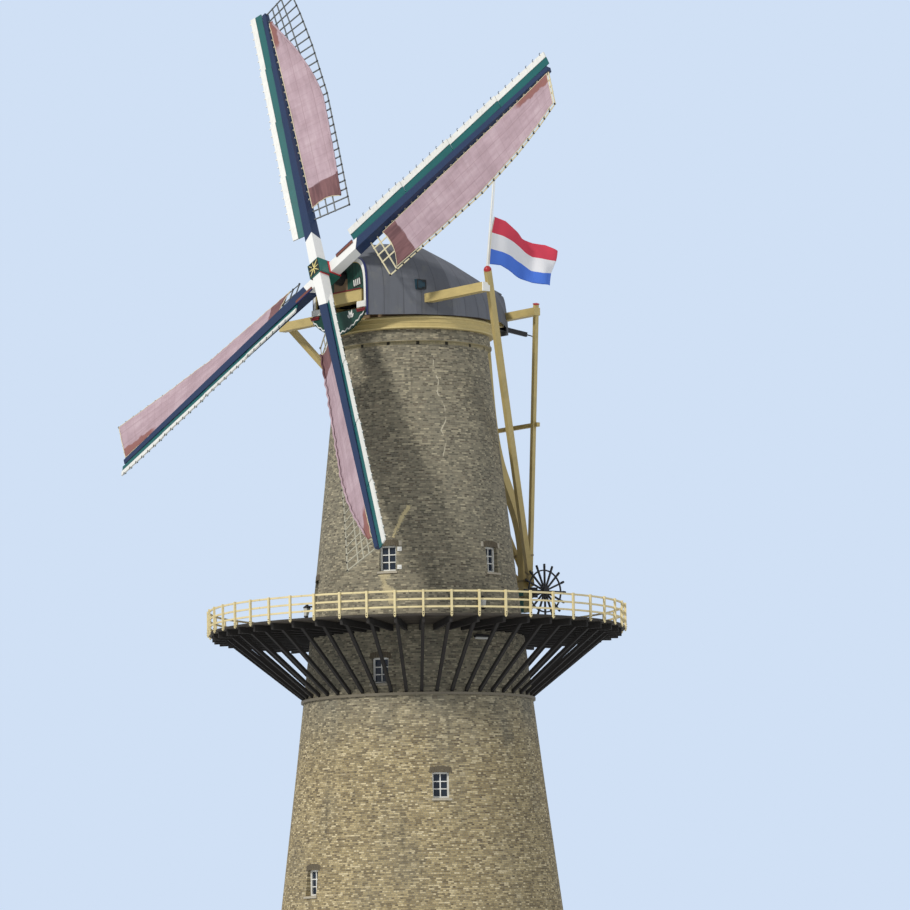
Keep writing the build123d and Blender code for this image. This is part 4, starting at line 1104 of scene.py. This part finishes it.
def thin_cloth(name, finish, front, back, marks, body):
    """Closed thin mesh between two grids of points; marks are their places on the flat cloth."""
    work = bmesh.new()
    layer = work.loops.layers.uv.new("cloth")
    upper = [[work.verts.new(point) for point in line] for line in front]
    lower = [[work.verts.new(point) for point in line] for line in back]
    spots = {}
    for grid in (upper, lower):
        for line, line_marks in zip(grid, marks):
            spots.update(zip(line, line_marks))
    rows, columns = len(front) - 1, len(front[0]) - 1
    for i in range(rows):
        for j in range(columns):
            work.faces.new((upper[i][j], upper[i + 1][j], upper[i + 1][j + 1], upper[i][j + 1]))
            work.faces.new((lower[i][j], lower[i][j + 1], lower[i + 1][j + 1], lower[i + 1][j]))
        for j in (0, columns):
            work.faces.new((upper[i][j], lower[i][j], lower[i + 1][j], upper[i + 1][j]))
    for i in (0, rows):
        for j in range(columns):
            work.faces.new((upper[i][j], upper[i][j + 1], lower[i][j + 1], lower[i][j]))
    bmesh.ops.recalc_face_normals(work, faces=work.faces)
    for face in work.faces:
        face.smooth = True
        for loop in face.loops:
            loop[layer].uv = spots[loop.vert]
    mesh = bpy.data.meshes.new(name)
    work.to_mesh(mesh)
    work.free()
    mesh.materials.append(finish.material)
    piece = added(name, mesh)
    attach(piece, body)
    return piece


def sail_ropes(number, front, back, end, reefed):
    """Bolt rope along the canvas's edges, and the lacing that holds it to the stock."""
    place = sail_place(number)
    ropes = Shape()
    middle = [[(a + b) / 2 for a, b in zip(up, down)] for up, down in zip(front, back)]
    ropes.rod([line[0] for line in middle], 0.008, 6)
    ropes.rod(middle[0][:cloth_columns + 1], 0.008, 6)
    if not reefed:
        ropes.rod([line[cloth_columns] for line in middle], 0.008, 6)
        ropes.rod(middle[-1][:cloth_columns + 1], 0.008, 6)
    for k in range(24):
        r = 1.72 + bar_step * k
        if r < end - 0.1:
            half = stock_half(r)
            loop = ((-0.02, 0.034, 0.02), (-0.012, 0.004, 0.03), (0.0, -0.004, 0.032), (0.012, 0.004, 0.03),
                    (0.02, 0.034, 0.02))
            ropes.rod([place @ sail_point(r + out, half + off, lift) for out, off, lift in loop], 0.005, 5)
    return ropes.settle("sail_ropes_%d" % (number + 1), rope, "sails", smooth=True)


for number in range(4):
    reefed = number % 2 == 0
    edge = reefed_edge if reefed else full_edge
    start, end = edge[0][0], edge[-1][0]
    front, back, marks = cloth_lines(number, edge, reefed)
    piece = thin_cloth("canvas_%d" % (number + 1), canvas, front, back, marks, "sails")
    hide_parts("sail_cloth_%d" % (number + 1))
    cordage = sail_ropes(number, front, back, end, reefed)
    end - start
    "sail_lattice_%d" % (number + 1)


# Flag of red, white and blue bunting that streams from a white pole, hanging lower towards its fly. Each edge
# of its bands is given as places behind the mill's axis and above the ground. A turned truck sits on the
# pole's head, and a halyard runs down the pole.
top_edge = ((2.165, 16.685), (2.45, 16.615), (2.69, 16.45), (2.93, 16.315), (3.21, 16.247), (3.492, 16.229),
            (3.735, 16.12))
red_edge = ((2.072, 16.363), (2.36, 16.31), (2.64, 16.22), (2.92, 16.10), (3.198, 15.965), (3.46, 15.93),
            (3.70, 15.91))
white_edge = ((2.034, 16.03), (2.34, 15.985), (2.62, 15.915), (2.90, 15.81), (3.15, 15.68), (3.36, 15.64),
              (3.60, 15.66))
blue_edge = ((1.998, 15.713), (2.30, 15.71), (2.60, 15.60), (2.88, 15.50), (3.12, 15.43), (3.34, 15.41),
             (3.57, 15.41))
bands = [[(i / 6, *row) for i, row in enumerate(line)] for line in (top_edge, red_edge, white_edge, blue_edge)]
bunting = Finish("bunting", roughness=0.8)
flat = bunting.node("UVMap", {"uv_map": "cloth"})
u, v = flat.parts()[:2]
weave = bunting.noise(bunting.stretched(flat, (260.0, 170.0, 1.0)), 1.0, 2.0)
toned = bunting.mix(v.rise(0.3325, 0.334), tint(216, 62, 84), tint(236, 236, 238))
toned = bunting.mix(v.rise(0.666, 0.6675), toned, tint(74, 122, 222))
toned = bunting.mix(1.0 - u.rise(0.012, 0.016), toned, tint(226, 222, 210))
bunting.finish(bunting.mix(weave * 0.12, toned, tint(60, 60, 70)), relief=weave * 0.0005)
flag_columns, flag_rows, half_thick = 60, 30, 0.0015
front, back, marks = [], [], []
for i in range(flag_columns + 1):
    u = i / flag_columns
    line_front, line_back, line_marks = [], [], []
    for j in range(flag_rows + 1):
        v = j / flag_rows
        number = min(int(v * 3), 2)
        share = v * 3 - number
        above, below = between(bands[number], u), between(bands[number + 1], u)
        y = above[0] + (below[0] - above[0]) * share
        z = above[1] + (below[1] - above[1]) * share
        sway = 0.085 * math.sin(u * 8.2 + v * 1.1 - 0.3) * min(u * 2.5, 1.0) * (0.55 + 0.45 * u)
        sway += 0.02 * math.sin(u * 21 - v * 5) * u
        line_front.append((sway + half_thick, y, z))
        line_back.append((sway - half_thick, y, z))
        line_marks.append((u, v))
    front.append(line_front)
    back.append(line_back)
    marks.append(line_marks)
flag = thin_cloth("bunting_flag", bunting, front, back, marks, "cap")
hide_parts("flag")
dress(painted("pole_white", white, (1.0, 1.0, 0.1)), "flag_pole")
pole_foot = at(0, 1.907, 15.178)
pole_lean = about("X", math.radians(-6.7))
pole = pole_foot @ pole_lean @ at(0, 0, 2.912)
fittings, line = Shape(), Shape()
fittings.turned(pole, [(0, 0.03), (0.012, 0.028), (0.026, 0.014), (0.03, 0.0), (0.026, -0.012), (0.017, -0.02),
                       (0, -0.02)], 16)
line.rod([pole @ Vector(point) for point in ((0.024, 0.018, -0.03), (0.03, 0.02, -1.4), (0.032, 0.02, -2.5))],
         0.004, 6)
fittings.settle("pole_truck", ochre_paint, "cap", smooth=True)
halyard = line.settle("halyard", rope, "cap")


# Pale sheet on which the mill stands. It is a flat square, far larger than the mill, with faint clouds in its
# colour, and isn't part of the object.
floor = bpy.data.meshes.new("floor")
work = bmesh.new()
bmesh.ops.create_grid(work, x_segments=1, y_segments=1, size=400.0)
work.to_mesh(floor)
work.free()
ground = added("floor", floor)
pale = Finish("floor_sheet", roughness=0.9)
pale.finish(pale.mix(pale.noise(pale.place, 0.4), tint(226, 228, 230), tint(220, 222, 225)))
ground.data.materials.append(pale.material)
